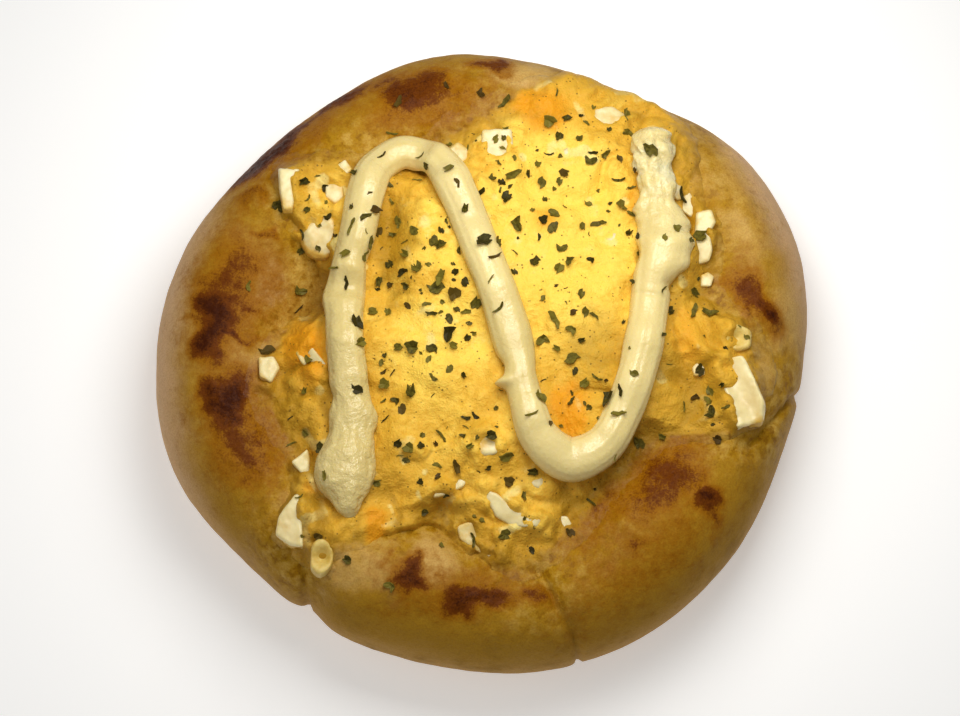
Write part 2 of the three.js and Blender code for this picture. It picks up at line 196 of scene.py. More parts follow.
def round_value(values: Sequence[float], angle: Points) -> Points:
    """Smooth closed curve through values that are evenly spaced round a turn.

    Args:
        values: The values, the first of them at angle 0.
        angle: Angles in radians.

    Returns:
        The curve's value at each angle.
    """
    table = np.asarray(values, float)
    count = len(table)
    place = np.mod(angle / TURN, 1.0) * count
    i = np.floor(place).astype(int)
    t = place - i
    a, b, c, d = (table[(i + k) % count] for k in (-1, 0, 1, 2))
    bend = 2 * a - 5 * b + 4 * c - d
    twist = 3 * b - a - 3 * c + d
    return 0.5 * (2 * b + (c - a) * t + bend * t * t + twist * t**3)


def near_angle(angle: Points, middle: float, spread: float) -> Points:
    """Bell-shaped share of angles in radians that lie near a middle one, given in degrees."""
    away = np.mod(np.degrees(angle) - middle + 540, 360) - 180
    return bell(away, spread)


def away_from_line(x: Points, y: Points, start: Sequence[float], end: Sequence[float]) -> Points:
    """Distance of points from a straight line between two points.

    Args:
        x, y: Plan coordinates.
        start: One end of the line.
        end: The other end.

    Returns:
        The distance of each point.
    """
    dx, dy = end[0] - start[0], end[1] - start[1]
    t = np.clip(((x - start[0]) * dx + (y - start[1]) * dy) / (dx * dx + dy * dy), 0, 1)
    return np.hypot(x - start[0] - t * dx, y - start[1] - t * dy)


def edges(corners: Sequence[Sequence[float]]) -> zip:
    """Start and end of each edge of a closed outline."""
    return zip(corners, [*corners[1:], corners[0]])


def away_from_edges(x: Points, y: Points, corners: Sequence[Sequence[float]]) -> Points:
    """Distance of points from the edges of a closed outline.

    Args:
        x, y: Plan coordinates.
        corners: The outline's corners.

    Returns:
        The distance of each point.
    """
    away = np.full(np.shape(x), FAR)
    for start, end in edges(corners):
        away = np.minimum(away, away_from_line(x, y, start, end))
    return away


def away_from_outline(x: Points, y: Points, corners: Sequence[Sequence[float]]) -> Points:
    """Distance of points from the area inside a closed outline.

    Args:
        x, y: Plan coordinates.
        corners: The outline's corners.

    Returns:
        The distance of each point, and 0 inside.
    """
    within = np.zeros(np.shape(x), bool)
    for start, end in edges(corners):
        rise = end[1] - start[1]
        if rise:
            crosses = (start[1] > y) != (end[1] > y)
            within ^= crosses & (x < start[0] + (end[0] - start[0]) * (y - start[1]) / rise)
    return np.where(within, 0.0, away_from_edges(x, y, corners))


@dataclass(frozen=True)
class Patch:
    """An oval place in plan with soft edges, such as a toasted spot."""

    x: float
    y: float
    length: float
    width: float
    turn: float = 0.0
    strength: float = 1.0

    def share(self, x: Points, y: Points) -> Points:
        """Strength of the patch at points: full in its middle, none far outside.

        Args:
            x, y: Plan coordinates.

        Returns:
            The strength at each point.
        """
        c, s = turned(self.turn)
        dx, dy = x - self.x, y - self.y
        along = (c * dx + s * dy) / (self.length / 2)
        across = (c * dy - s * dx) / (self.width / 2)
        fade, plateau = 0.7, 1.2
        return self.strength * np.exp(-((along**2 + across**2) ** plateau) * fade)


def patches(spots: Sequence[Patch], x: Points, y: Points, warp: float = 0.0) -> Points:
    """Strongest of several patches at points, with wavering edges.

    Args:
        spots: The patches.
        x, y: Plan coordinates.
        warp: How far the edges waver.

    Returns:
        Share from 0 to 1.
    """
    if warp:
        x, y = waver(x, y, warp, PATCH_WAVER, 21)
    total = np.zeros(np.shape(x))
    for spot in spots:
        total = np.maximum(total, spot.share(x, y))
    return total


# ---- forms of the large pieces


@dataclass(frozen=True)
class Fold:
    """A groove between two points of the plan, or a ridge where its depth is negative."""

    start: Pair
    end: Pair
    depth: float
    width: float

    def share(self, x: Points, y: Points) -> Points:
        """How deep it is at points of the plan."""
        return self.depth * bell(away_from_line(x, y, self.start, self.end), self.width)


@dataclass(frozen=True)
class Swell:
    """A rounded swelling of the crumb under the crust."""

    x: float
    y: float
    radius: float
    rise: float

    def share(self, x: Points, y: Points) -> Points:
        """How high it is at points of the plan."""
        return self.rise * bell(np.hypot(x - self.x, y - self.y), self.radius)


@dataclass
class BunForm:
    """Outline and upper side of the bun."""

    radii: tuple[float, ...] = (
        57.4, 60.6, 60.6, 57.1, 56.8, 57.6, 55.5, 55.3, 57.3,
        57.9, 57.7, 54.5, 54.2, 54.0, 55.3, 56.0, 55.9, 55.5,
    )  # fmt: skip
    mean_radius: float = 57.0
    girth_height: float = 11.0  # where the side bulges most
    base_inset: float = 9.0
    crest_height: float = 26.0
    crest_inset: float = 11.0
    hollow_height: float = 11.5
    hollow_slope: float = 30.0  # the hollow deepens over this width
    relief_run: float = 4.0  # the relief is full from this inset on
    uneven_height: float = 0.7
    uneven_span: float = 13.0
    spill_angle: float = 62.0  # the crest is lower there, where the salad spills over
    spill_spread: float = 17.0
    spill_drop: float = 4.0
    pinch_angle: float = 236.0  # the outline is drawn in there
    pinch_spread: float = 3.6
    pinch_depth: float = 1.3
    folds: tuple[Fold, ...] = (
        Fold((-30.2, -36), (-30.6, -47), 1.8, 2.2),
        Fold((9.5, -39), (17, -53), 1.3, 2.4),
        Fold((46, -17), (57, -5), 1.3, 2.2),
    )
    swells: tuple[Swell, ...] = (
        Swell(-8.5, -38, 6.5, 2),
        Swell(26, -29, 12, 3),
        Swell(-42, 0, 9, 0.8),
        Swell(-22, -40, 7, 0.9),
    )

    def radius(self, angle: Points) -> Points:
        """Plan radius of the outline."""
        pinch = self.pinch_depth * near_angle(angle, self.pinch_angle, self.pinch_spread)
        return round_value(self.radii, angle) - pinch

    def relief(self, x: Points, y: Points) -> Points:
        """Folds, swellings and unevenness of the crust.

        Args:
            x, y: Plan coordinates.

        Returns:
            Height that they add at each point.
        """
        height = self.uneven_height * uneven(x, y, self.uneven_span, 1)
        for fold in self.folds:
            height = height - fold.share(x, y)
        for swell in self.swells:
            height = height + swell.share(x, y)
        return height

    def profile(self, inset: Points, crest: Points) -> Points:
        """Height of a plain rim and hollow.

        Args:
            inset: Distance in from the outline.
            crest: Height of the rim's crest.

        Returns:
            Height at each inset.
        """
        out = 1 - np.clip(inset / self.crest_inset, 0, 1)
        rim = mix(self.girth_height, crest, np.sqrt(np.clip(1 - out * out, 0, 1)))
        return mix(rim, self.hollow_height, ease((inset - self.crest_inset) / self.hollow_slope))

    def top(self, x: Points, y: Points) -> Points:
        """Height of the bread's upper side.

        Args:
            x, y: Plan coordinates.

        Returns:
            Height at each point.
        """
        angle = np.arctan2(y, x)
        inset = np.maximum(0, self.radius(angle) - np.hypot(x, y))
        crest = self.crest_height - self.spill_drop * near_angle(angle, self.spill_angle, self.spill_spread)
        return self.profile(inset, crest) + self.relief(x, y) * np.clip(inset / self.relief_run, 0, 1)


@dataclass
class SaladForm:
    """Outline and upper side of the heap of egg salad."""

    bun: BunForm
    radii: tuple[float, ...] = (
        42.5, 36, 40.3, 41.3, 47, 51, 51, 45, 40.4, 38.1,
        36, 41.2, 48.3, 37, 32.5, 38.8, 43.4, 42.3, 43.8, 52.3,
        42, 34.8, 39.2, 42, 38.2, 33.6, 32.1, 33, 43, 46,
    )  # fmt: skip
    middle: Pair = (4.0, 3.0)
    crown_height: float = 30.2
    skirt_height: float = 22.5
    dome_radius: float = 46.0
    outline_share: float = 0.4  # how far the dome follows the outline instead of its radius
    dome_power: float = 2.4
    cover: float = 1.9  # least depth of salad over the bread
    cover_join: float = 0.5  # the dome and the cover meet in a soft bend
    edge_start: float = 0.88  # the edge rolls down from this share of the radius on
    tuck: float = 1.0  # how far it dips into the bread
    spill_angle: float = 58.0
    spill_spread: float = 15.0
    spill_reach: float = 4.5
    lump_height: float = 1.3
    lump_span: float = 7.0
    crumb_height: float = 0.5
    crumb_span: float = 3.1

    def polar(self, x: Points, y: Points) -> tuple[Points, Points]:
        """Angle round the salad's middle and distance from it."""
        dx, dy = x - self.middle[0], y - self.middle[1]
        return np.arctan2(dy, dx), np.hypot(dx, dy)

    def point(self, angle: Points, away: Points) -> tuple[Points, Points]:
        """Plan coordinates at an angle round the salad's middle and a distance from it."""
        return self.middle[0] + away * np.cos(angle), self.middle[1] + away * np.sin(angle)

    def radius(self, angle: Points) -> Points:
        """Plan radius of the salad's edge, which runs over the crust's rim at one side."""
        spill = self.spill_reach * near_angle(angle, self.spill_angle, self.spill_spread)
        return round_value(self.radii, angle) + spill

    def reach(self, x: Points, y: Points) -> Points:
        """Distance from the middle as a share of the radius there."""
        angle, away = self.polar(x, y)
        return away / self.radius(angle)

    def heap(self, x: Points, y: Points, bread: Points) -> Points:
        """Height of the heap as if it had no edge.

        Args:
            x, y: Plan coordinates.
            bread: Height of the bread there.

        Returns:
            Height at each point.
        """
        angle, away = self.polar(x, y)
        share = away / mix(self.dome_radius, self.radius(angle), self.outline_share)
        dome = mix(self.crown_height, self.skirt_height, share**self.dome_power)
        least = bread + self.cover
        level = np.maximum(dome, least) + self.cover_join * np.exp(-np.abs(dome - least))
        lumps = self.lump_height * uneven(x, y, self.lump_span, 2)
        return level + lumps + self.crumb_height * uneven(x, y, self.crumb_span, 3)

    def top(self, x: Points, y: Points) -> Points:
        """Height of the salad's upper side, which dips into the bread past its edge."""
        bread = self.bun.top(x, y)
        roll = ramp(self.reach(x, y), self.edge_start, 1 - self.edge_start)
        return mix(self.heap(x, y, bread), bread - self.tuck, roll)


@dataclass
class BeadForm:
    """Middle line and section of the piped bead of mayonnaise."""

    salad: SaladForm
    path: tuple[tuple[float, float, float], ...] = (
        (-22, -30.5, 8.6), (-23, -23.5, 10), (-22.4, -17.5, 8.2), (-22.4, -9.5, 7), (-23.3, -1, 6.2),
        (-23.5, 7, 6.3), (-22.9, 13, 6.1), (-21.3, 19.6, 6.2), (-20.2, 26.4, 6.4), (-18.2, 32, 6.2),
        (-13.6, 35.3, 6), (-7.8, 33, 6.2), (-3.8, 25.6, 6.6), (-0.1, 16, 6.7), (3.3, 6.6, 6.7),
        (5.9, -2.5, 6.6), (7.4, -10.5, 5.8), (9.6, -16.8, 6.6), (14.8, -20.4, 7.6), (20.6, -17.9, 7),
        (24.2, -11.5, 6.7), (27.2, -2.5, 6.7), (28.8, 6.6, 6.8), (29.8, 12.5, 7.4), (31, 17.5, 9.4),
        (31.3, 22.8, 7.8), (30.4, 29.4, 6.4), (29.8, 34.6, 7), (28.9, 39.4, 6.6),
    )  # fmt: skip
    height_base: float = 2.6
    height_per_width: float = 0.3
    shoulder: float = 1.5  # height of the bead's widest place over what it lies on
    root: float = 3.4  # how far it reaches down from there
    end_length: float = 3.0
    bed_width: float = 2.2  # its ground is evened out between points this far to each side
    samples_per_stretch: int = 24
    way_step: float = 0.6  # its way along is taken between points this far ahead and behind

    def __post_init__(self) -> None:
        """Works out the smooth line and the distance along it."""
        nodes = np.asarray(self.path, float)
        line = [nodes[:1]]
        ends = [nodes[0] * 2 - nodes[1], *nodes, nodes[-1] * 2 - nodes[-2]]
        for four in zip(ends, ends[1:], ends[2:], ends[3:]):
            gaps = [math.sqrt(np.linalg.norm(b - a)) for a, b in zip(four, four[1:])]
            knots = np.cumsum([0.0, *gaps])
            t = np.linspace(knots[1], knots[2], self.samples_per_stretch + 1)[1:, None]
            line.append(self._stretch(four, knots, t))
        self.line = np.concatenate(line)
        steps = np.linalg.norm(np.diff(self.line[:, :2], axis=0), axis=1)
        self.along = np.concatenate([[0.0], np.cumsum(steps)])
        self.length = float(self.along[-1])

    @staticmethod
    def _stretch(p: Sequence[Points], k: Points, t: Points) -> Points:
        """Points of the smooth curve between the second and third of four points.

        Args:
            p: The four points.
            k: Their knots, the places of the points on the scale of t.
            t: Where on the curve the points are wanted, from the second knot to the third.

        Returns:
            The points.
        """

        def between(first: Points, second: Points, i: int, j: int) -> Points:
            """Blend of two points by where t lies between two knots."""
            return (k[j] - t) / (k[j] - k[i]) * first + (t - k[i]) / (k[j] - k[i]) * second

        a = [between(p[i], p[i + 1], i, i + 1) for i in (0, 1, 2)]
        b = [between(a[i], a[i + 1], i, i + 2) for i in (0, 1)]
        return between(b[0], b[1], 1, 2)

    def place(self, distance: Points) -> Points:
        """Plan points of the middle line at distances along it."""
        return np.stack([np.interp(distance, self.along, self.line[:, k]) for k in (0, 1)], axis=-1)

    def at(self, distance: Points) -> tuple[Points, Points, Points]:
        """Place, sideways direction and width of the bead.

        Args:
            distance: Distances along the bead from its lower left end.

        Returns:
            Plan points, unit vectors to the right of the way along, and widths.
        """
        way = self.place(distance + self.way_step) - self.place(distance - self.way_step)
        way = way / np.linalg.norm(way, axis=-1, keepdims=True)
        across = np.stack([way[..., 1], -way[..., 0]], axis=-1)
        return self.place(distance), across, np.interp(distance, self.along, self.line[:, 2])

    def away(self, x: Points, y: Points) -> Points:
        """Distance of points from the middle line, of which every fourth point is looked at."""
        total = np.full(np.shape(x), FAR)
        for px, py, _ in self.line[::4]:
            total = np.minimum(total, np.hypot(x - px, y - py))
        return total

    def ground(self, place: Points, across: Points) -> Points:
        """Height that the bead lies on, evened out over its width."""
        heights = [self.salad.top(*(place + k * self.bed_width * across).T) for k in (-1, 0, 1)]
        return sum(heights) / len(heights)


@dataclass
class Plan:
    """All forms of the object, and the step from plan coordinates to the frame."""

    bun: BunForm = field(default_factory=BunForm)
    outline_points: int = 66  # those of the solid bun, from whose box the middle is taken

    def __post_init__(self) -> None:
        """Builds the forms that lie on the bun and finds the middle of its plan."""
        self.salad = SaladForm(self.bun)
        self.bead = BeadForm(self.salad)
        angle = np.arange(self.outline_points) / self.outline_points * TURN
        radius = self.bun.radius(angle)
        x, y = radius * np.cos(angle), radius * np.sin(angle)
        self.middle = np.array([(x.min() + x.max()) / 2, (y.min() + y.max()) / 2, 0.0])

    def to_frame(self, points: Points) -> Points:
        """Metres in the frame for millimetres in plan."""
        return (points - self.middle) * MM


# ---- hand tools


class Bench:
    """Steps on meshes that are done by hand: primitives, edit-mode moves and modifiers."""

    @staticmethod
    def clear() -> None:
        """Nothing is selected and no object is in edit mode."""
        if bpy.context.object and bpy.context.object.mode != "OBJECT":
            bpy.ops.object.mode_set(mode="OBJECT")
        bpy.ops.object.select_all(action="DESELECT")

    @staticmethod
    def take(piece: Piece) -> None:
        """Makes one object the selected and active one."""
        Bench.clear()
        piece.select_set(True)
        bpy.context.view_layer.objects.active = piece

    @staticmethod
    def named(name: str) -> Piece:
        """Names the object that was just added, and its mesh."""
        piece = bpy.context.object
        piece.name = name
        piece.data.name = name
        return piece

    @staticmethod
    def stack(name: str, columns: int, rings: Sequence[Pair]) -> Piece:
        """Closed round body: a disc that is drawn up and scaled ring by ring.

        Args:
            name: Name of the piece.
            columns: Corners of each ring.
            rings: Radius and height of each ring in millimetres, from the base up.

        Returns:
            The object, in object mode.
        """
        Bench.clear()
        radius, height = rings[0]
        bpy.ops.mesh.primitive_circle_add(vertices=columns, radius=radius * MM, fill_type="NGON")
        piece = Bench.named(name)
        bpy.ops.object.mode_set(mode="EDIT")
        bpy.ops.transform.translate(value=(0, 0, height * MM))
        for next_radius, next_height in rings[1:]:
            bpy.ops.mesh.extrude_region_move(
                TRANSFORM_OT_translate={"value": (0, 0, (next_height - height) * MM)}
            )
            share = next_radius / radius
            bpy.ops.transform.resize(value=(share, share, 1), center_override=(0, 0, 0))
            radius, height = next_radius, next_height
        Bench.face_outwards()
        bpy.ops.object.mode_set(mode="OBJECT")
        return piece

    @staticmethod
    def face_outwards() -> None:
        """Turns all faces of the mesh in edit mode outwards."""
        bpy.ops.mesh.select_all(action="SELECT")
        bpy.ops.mesh.normals_make_consistent(inside=False)

    @staticmethod
    def slab(
        name: str, outline: Sequence[Sequence[float]], thickness: float, dulling: float
    ) -> Piece:
        """A piece cut to an outline, with dulled edges.

        Args:
            name: Name of the piece.
            outline: Corners in plan, in millimetres.
            thickness: Height of the slab, which is centred on height 0.
            dulling: Width of the bevel along its edges.

        Returns:
            The object, in object mode.
        """
        Bench.clear()
        corners = np.asarray(outline, float)
        turn = np.sum(corners[:, 0] * np.roll(corners[:, 1], -1) - np.roll(corners[:, 0], -1) * corners[:, 1])
        if turn < 0:
            corners = corners[::-1]
        bpy.ops.mesh.primitive_circle_add(vertices=len(corners), radius=MM, fill_type="NGON")
        piece = Bench.named(name)
        for vertex, (x, y) in zip(piece.data.vertices, corners):
            vertex.co = (x * MM, y * MM, -thickness / 2 * MM)
        bpy.ops.object.mode_set(mode="EDIT")
        bpy.ops.mesh.select_all(action="SELECT")
        bpy.ops.mesh.extrude_region_move(TRANSFORM_OT_translate={"value": (0, 0, thickness * MM)})
        Bench.face_outwards()
        bpy.ops.mesh.bevel(offset=dulling * MM, segments=2, affect="EDGES")
        bpy.ops.mesh.select_all(action="SELECT")
        bpy.ops.mesh.quads_convert_to_tris(quad_method="BEAUTY", ngon_method="BEAUTY")
        bpy.ops.object.mode_set(mode="OBJECT")
        return piece

    @staticmethod
    def modify(piece: Piece, kind: str, **settings: Any) -> None:
        """Adds a modifier, sets it and applies it."""
        Bench.take(piece)
        modifier = piece.modifiers.new(kind.title(), kind)
        for key, value in settings.items():
            setattr(modifier, key, value)
        bpy.ops.object.modifier_apply(modifier=modifier.name)

    @staticmethod
    def subdivide(piece: Piece, levels: int) -> None:
        """Smooths a piece by subdivision, and applies it."""
        Bench.modify(piece, "SUBSURF", levels=levels, render_levels=levels)

    @staticmethod
    def remesh(piece: Piece, voxel: float) -> None:
        """Evens out a mesh, with faces of a size in millimetres."""
        Bench.modify(piece, "REMESH", mode="VOXEL", voxel_size=voxel * MM)

    @staticmethod
    def points(piece: Piece) -> Points:
        """Corner positions of a mesh, as stored."""
        flat = np.zeros(len(piece.data.vertices) * 3, np.float32)
        piece.data.vertices.foreach_get("co", flat)
        return flat.reshape(-1, 3).astype(float)

    @staticmethod
    def move(piece: Piece, points: Points) -> None:
        """Puts the corners of a mesh at new places."""
        piece.data.vertices.foreach_set("co", np.ascontiguousarray(points, np.float32).ravel())
        piece.data.update()

    @staticmethod
    def normals(piece: Piece) -> Points:
        """Outward directions at the corners of a mesh."""
        flat = np.zeros(len(piece.data.vertices) * 3, np.float32)
        piece.data.vertex_normals.foreach_get("vector", flat)
        return flat.reshape(-1, 3).astype(float)

    @staticmethod
    def paint(piece: Piece, name: str, values: Points) -> None:
        """Stores one number for each corner, which a material reads by its name."""
        layer = piece.data.attributes.new(name, "FLOAT", "POINT")
        layer.data.foreach_set("value", np.ascontiguousarray(values, np.float32))

    @staticmethod
    def smooth(piece: Piece) -> None:
        """Shades a piece smooth."""
        Bench.take(piece)
        bpy.ops.object.shade_smooth()

    @staticmethod
    def dress(piece: Piece, painted: dict[str, Points], material: bpy.types.Material) -> None:
        """Gives a piece its material, and what that material reads at the corners."""
        for name, values in painted.items():
            Bench.paint(piece, name, values)
        piece.data.materials.append(material)

    @staticmethod
    def copy(piece: Piece, name: str) -> Piece:
        """A copy of a piece with its own mesh."""
        twin = bpy.data.objects.new(name, piece.data.copy())
        bpy.context.scene.collection.objects.link(twin)
        return twin

    @staticmethod
    def join(pieces: Sequence[Piece], name: str) -> Piece:
        """Joins pieces into one object."""
        Bench.clear()
        for piece in pieces:
            piece.select_set(True)
        bpy.context.view_layer.objects.active = pieces[0]
        if len(pieces) > 1:
            bpy.ops.object.join()
        return Bench.named(name)

    @staticmethod
    def drop(*pieces: Piece) -> None:
        """Removes objects that were only patterns for others."""
        for piece in pieces:
            bpy.data.objects.remove(piece)


def surface_of(*pieces: Piece) -> BVHTree:
    """Search tree over the joined surfaces of pieces, in frame metres."""
    corners: list[Vector] = []
    faces: list[tuple[int, ...]] = []
    for piece in pieces:
        start = len(corners)
        corners.extend(vertex.co.copy() for vertex in piece.data.vertices)
        faces.extend(tuple(start + k for k in polygon.vertices) for polygon in piece.data.polygons)
    return BVHTree.FromPolygons(corners, faces)


# ---- shader tools


def srgb(red: float, green: float, blue: float) -> tuple[float, float, float, float]:
    """Linear colour of display values from 0 to 255."""
    channels = [value / 255 for value in (red, green, blue)]
    linear = [c / 12.92 if c <= 0.04045 else ((c + 0.055) / 1.055) ** 2.4 for c in channels]
    return (*linear, 1.0)


def softness(weight: float, spread: Sequence[float], depth: float) -> dict[str, Any]:
    """Settings of a surface that light enters, to a depth in metres at most."""
    return {"Subsurface_Weight": weight, "Subsurface_Radius": spread, "Subsurface_Scale": depth}


class Value:
    """A number in a material, made from a socket, that sums like a Python number."""

    def __init__(self, bench: "Nodes", socket: Socket) -> None:
        """Wraps an output socket of a node tree."""
        self.bench = bench
        self.socket = socket

    def _with(self, operation: str, first: Any, second: Any) -> "Value":
        """A Math node on two values."""
        node = self.bench.node("ShaderNodeMath", {"operation": operation}, {0: first, 1: second})
        return Value(self.bench, node.outputs[0])

    def __add__(self, other: Any) -> "Value":
        """Sum."""
        return self._with("ADD", self, other)

    __radd__ = __add__

    def __mul__(self, other: Any) -> "Value":
        """Product."""
        return self._with("MULTIPLY", self, other)

    __rmul__ = __mul__

    def __sub__(self, other: Any) -> "Value":
        """Difference."""
        return self._with("SUBTRACT", self, other)

    def __rsub__(self, other: Any) -> "Value":
        """Difference with this value taken away."""
        return self._with("SUBTRACT", other, self)

    def clouded(self, *clouds: tuple["Value", float]) -> "Value":
        """This value with cloudy patterns added, each centred on none and times its strength."""
        total = self
        for pattern, strength in clouds:
            total = total + (pattern - 0.5) * strength
        return total

    def step(self, low: float, high: float) -> "Value":
        """Smooth step from 0 at low to 1 at high."""
        settings = {"interpolation_type": "SMOOTHSTEP"}
        node = self.bench.node("ShaderNodeMapRange", settings, {0: self, 1: low, 2: high, 3: 0.0, 4: 1.0})
        return Value(self.bench, node.outputs[0])


class Nodes:
    """A material's node tree with one Principled shader."""

    def __init__(self, name: str) -> None:
        """Makes an empty material of that name with a Principled shader at its output."""
        self.material = bpy.data.materials.new(name)
        self.material.use_nodes = True
        self.tree = self.material.node_tree
        self.tree.nodes.clear()
        self.shader = self.node("ShaderNodeBsdfPrincipled")
        self.node("ShaderNodeOutputMaterial", inputs={"Surface": self.shader.outputs[0]})
        self.place = self.node("ShaderNodeTexCoord").outputs["Object"]

    def node(
        self, kind: str, settings: dict[str, Any] | None = None, inputs: dict[Any, Any] | None = None
    ) -> bpy.types.Node:
        """Adds any node.

        Args:
            kind: Blender's name of the node type.
            settings: Properties, which are set first.
            inputs: Value or link of each input socket, by name or number.

        Returns:
            The node.
        """
        node = self.tree.nodes.new(kind)
        for key, value in (settings or {}).items():
            setattr(node, key, value)
        self.feed(node, inputs or {})
        return node

    def feed(self, node: bpy.types.Node, inputs: dict[Any, Any]) -> None:
        """Sets or links input sockets of a node.

        Args:
            node: The node.
            inputs: Value or link of each input socket, by name or number.
        """
        for key, value in inputs.items():
            source = value.socket if isinstance(value, Value) else value
            if isinstance(source, Socket):
                self.tree.links.new(source, node.inputs[key])
            else:
                node.inputs[key].default_value = source

    def painted(self, name: str) -> Value:
        """A number that is stored at the mesh's corners."""
        return Value(self, self.node("ShaderNodeAttribute", {"attribute_name": name}).outputs["Fac"])

    def noise(self, span: float, detail: float, roughness: float, shift: float = 0.0) -> Value:
        """Cloudy pattern.

        Args:
            span: About how many millimetres its lumps are across.
            detail: Number of finer patterns in it.
            roughness: How strong those are.
            shift: Where in the endless pattern the piece lies.

        Returns:
            The pattern from 0 to 1, mostly near 0.5.
        """
        offset = (shift, shift * 0.7, shift * 0.4)
        place = self.node("ShaderNodeMapping", {}, {0: self.place, 1: offset}).outputs[0]
        inputs = {"Vector": place, "Scale": 1 / (span * MM), "Detail": detail, "Roughness": roughness}
        return Value(self, self.node("ShaderNodeTexNoise", {}, inputs).outputs["Fac"])

    def cells(self, span: float) -> Value:
        """Distance from the nearest of scattered points, about span millimetres apart."""
        inputs = {"Vector": self.place, "Scale": 1 / (span * MM)}
        return Value(self, self.node("ShaderNodeTexVoronoi", {}, inputs).outputs["Distance"])

    def blend(self, share: Any, first: Any, second: Any, how: str = "MIX") -> Socket:
        """Colour between two colours."""
        settings = {"data_type": "RGBA", "blend_type": how}
        return self.node("ShaderNodeMix", settings, {0: share, 6: first, 7: second}).outputs[2]

    def bump(self, height: Value, depth: float, strength: float = 1.0) -> Socket:
        """Normal of a surface with relief of a depth in millimetres."""
        inputs = {"Height": height, "Distance": depth * MM, "Strength": strength}
        return self.node("ShaderNodeBump", {}, inputs).outputs[0]

    def finish(self, colour: Any, roughness: Any, **others: Any) -> bpy.types.Material:
        """Links the shader's sockets and gives the material.

        Args:
            colour: Base colour or its socket.
            roughness: Roughness or its value.
            others: Values of other sockets, with underscores for the spaces in their names.

        Returns:
            The finished material.
        """
        sockets = {"Base Color": colour, "Roughness": roughness}
        sockets |= {name.replace("_", " "): given for name, given in others.items()}
        self.feed(self.shader, sockets)
        return self.material


# ---- finishes


@dataclass(frozen=True)
class CrustFinish:
    """Baked crust: tan side, golden rim, pale swellings, toasted spots and soaked crumb, a paler foot, and
    painted light on the left and right sides.
    """

    side: tuple = srgb(184, 142, 70)
    rim: tuple = srgb(170, 127, 30)
    olive: tuple = srgb(132, 96, 14)
    pale: tuple = srgb(206, 168, 96)
    curd: tuple = srgb(204, 168, 80)
    golden: tuple = srgb(148, 92, 4)
    brown: tuple = srgb(104, 52, 3)
    toast: tuple = srgb(62, 23, 2)
    soaked: tuple = srgb(170, 126, 18)
    oily: tuple = srgb(130, 86, 4)
    # paler foot of the side, and painted light on the left and right sides
    pale_foot_and_painted_light: tuple = srgb(226, 186, 142)

    def skin(self, nodes: Nodes) -> tuple[Socket, Value, Value]:
        """What baked crust looks like.

        Args:
            nodes: The material's nodes, on a piece with the attributes of Bun.colouring.

        Returns:
            Its colour, its roughness and its relief in millimetres.
        """
        mottle = nodes.noise(9.0, 4, 0.6)
        blotch = nodes.noise(3.4, 5, 0.65, 0.05)
        lump = nodes.noise(1.9, 4, 0.6, 0.37)
        fine = nodes.noise(1.1, 3, 0.6, 0.11)
        grain = nodes.noise(0.32, 2, 0.6, 0.23)
        crumb = nodes.painted("crumb")
        rim = nodes.painted("rim").clouded((mottle, 0.7), (blotch, 0.3))
        colour = nodes.blend(rim.step(0.1, 0.9), self.side, self.rim)
        colour = nodes.blend((mottle * 0.6 + blotch * 0.4).step(0.47, 0.66) * 0.45, colour, self.olive)
        # painted light on the left and right sides, with the real paler foot
        pale_foot_and_painted_light = nodes.painted("pale_foot_and_painted_light").clouded((mottle, 0.6))
        colour = nodes.blend(pale_foot_and_painted_light.step(0.1, 0.9) * 0.8, colour, self.pale_foot_and_painted_light)
        soak = nodes.painted("soak").clouded((mottle, 0.9), (blotch, 0.6), (fine, 0.25))
        colour = nodes.blend(soak.step(0.1, 0.75) * 0.9, colour, self.soaked)
        curd = (lump * 0.5 + blotch * 0.5).step(0.46, 0.64) * crumb
        colour = nodes.blend(curd * 0.75, colour, self.curd)
        gaps = (1.0 - (lump * 0.6 + fine * 0.4).step(0.38, 0.5)) * crumb
        colour = nodes.blend(gaps * 0.75, colour, self.oily)
        pale = nodes.painted("pale").clouded((mottle, 0.5), (blotch, 0.9), (fine, 0.3))
        colour = nodes.blend(pale.step(0.2, 1.0) * 0.9, colour, self.pale)
        heat = nodes.painted("toast").clouded((fine, 0.4), (blotch, 0.5), (mottle, 0.2))
        colour = nodes.blend(heat.step(0.02, 0.4) * 0.85, colour, self.golden)
        colour = nodes.blend(heat.clouded((grain, 0.35)).step(0.34, 0.64), colour, self.brown)
        colour = nodes.blend(heat.clouded((grain, 0.45)).step(0.62, 1.02), colour, self.toast)
        colour = nodes.blend(grain.step(0.35, 0.75) * 0.3, colour, self.side, "MULTIPLY")
        roughness = (0.64 - crumb * 0.16).clouded((fine, 0.3))
        return colour, roughness, (lump * crumb * 1.6 + fine * 0.7 + grain * 0.35) * 0.2

    def build(self) -> bpy.types.Material:
        """The material of the bun."""
        nodes = Nodes("baked_crust")
        colour, roughness, relief = self.skin(nodes)
        return nodes.finish(
            colour,
            roughness,
            Normal=nodes.bump(relief, 1.0, 0.9),
            **softness(0.06, (1.0, 0.45, 0.2), 0.0016),
            Specular_IOR_Level=0.07,
        )


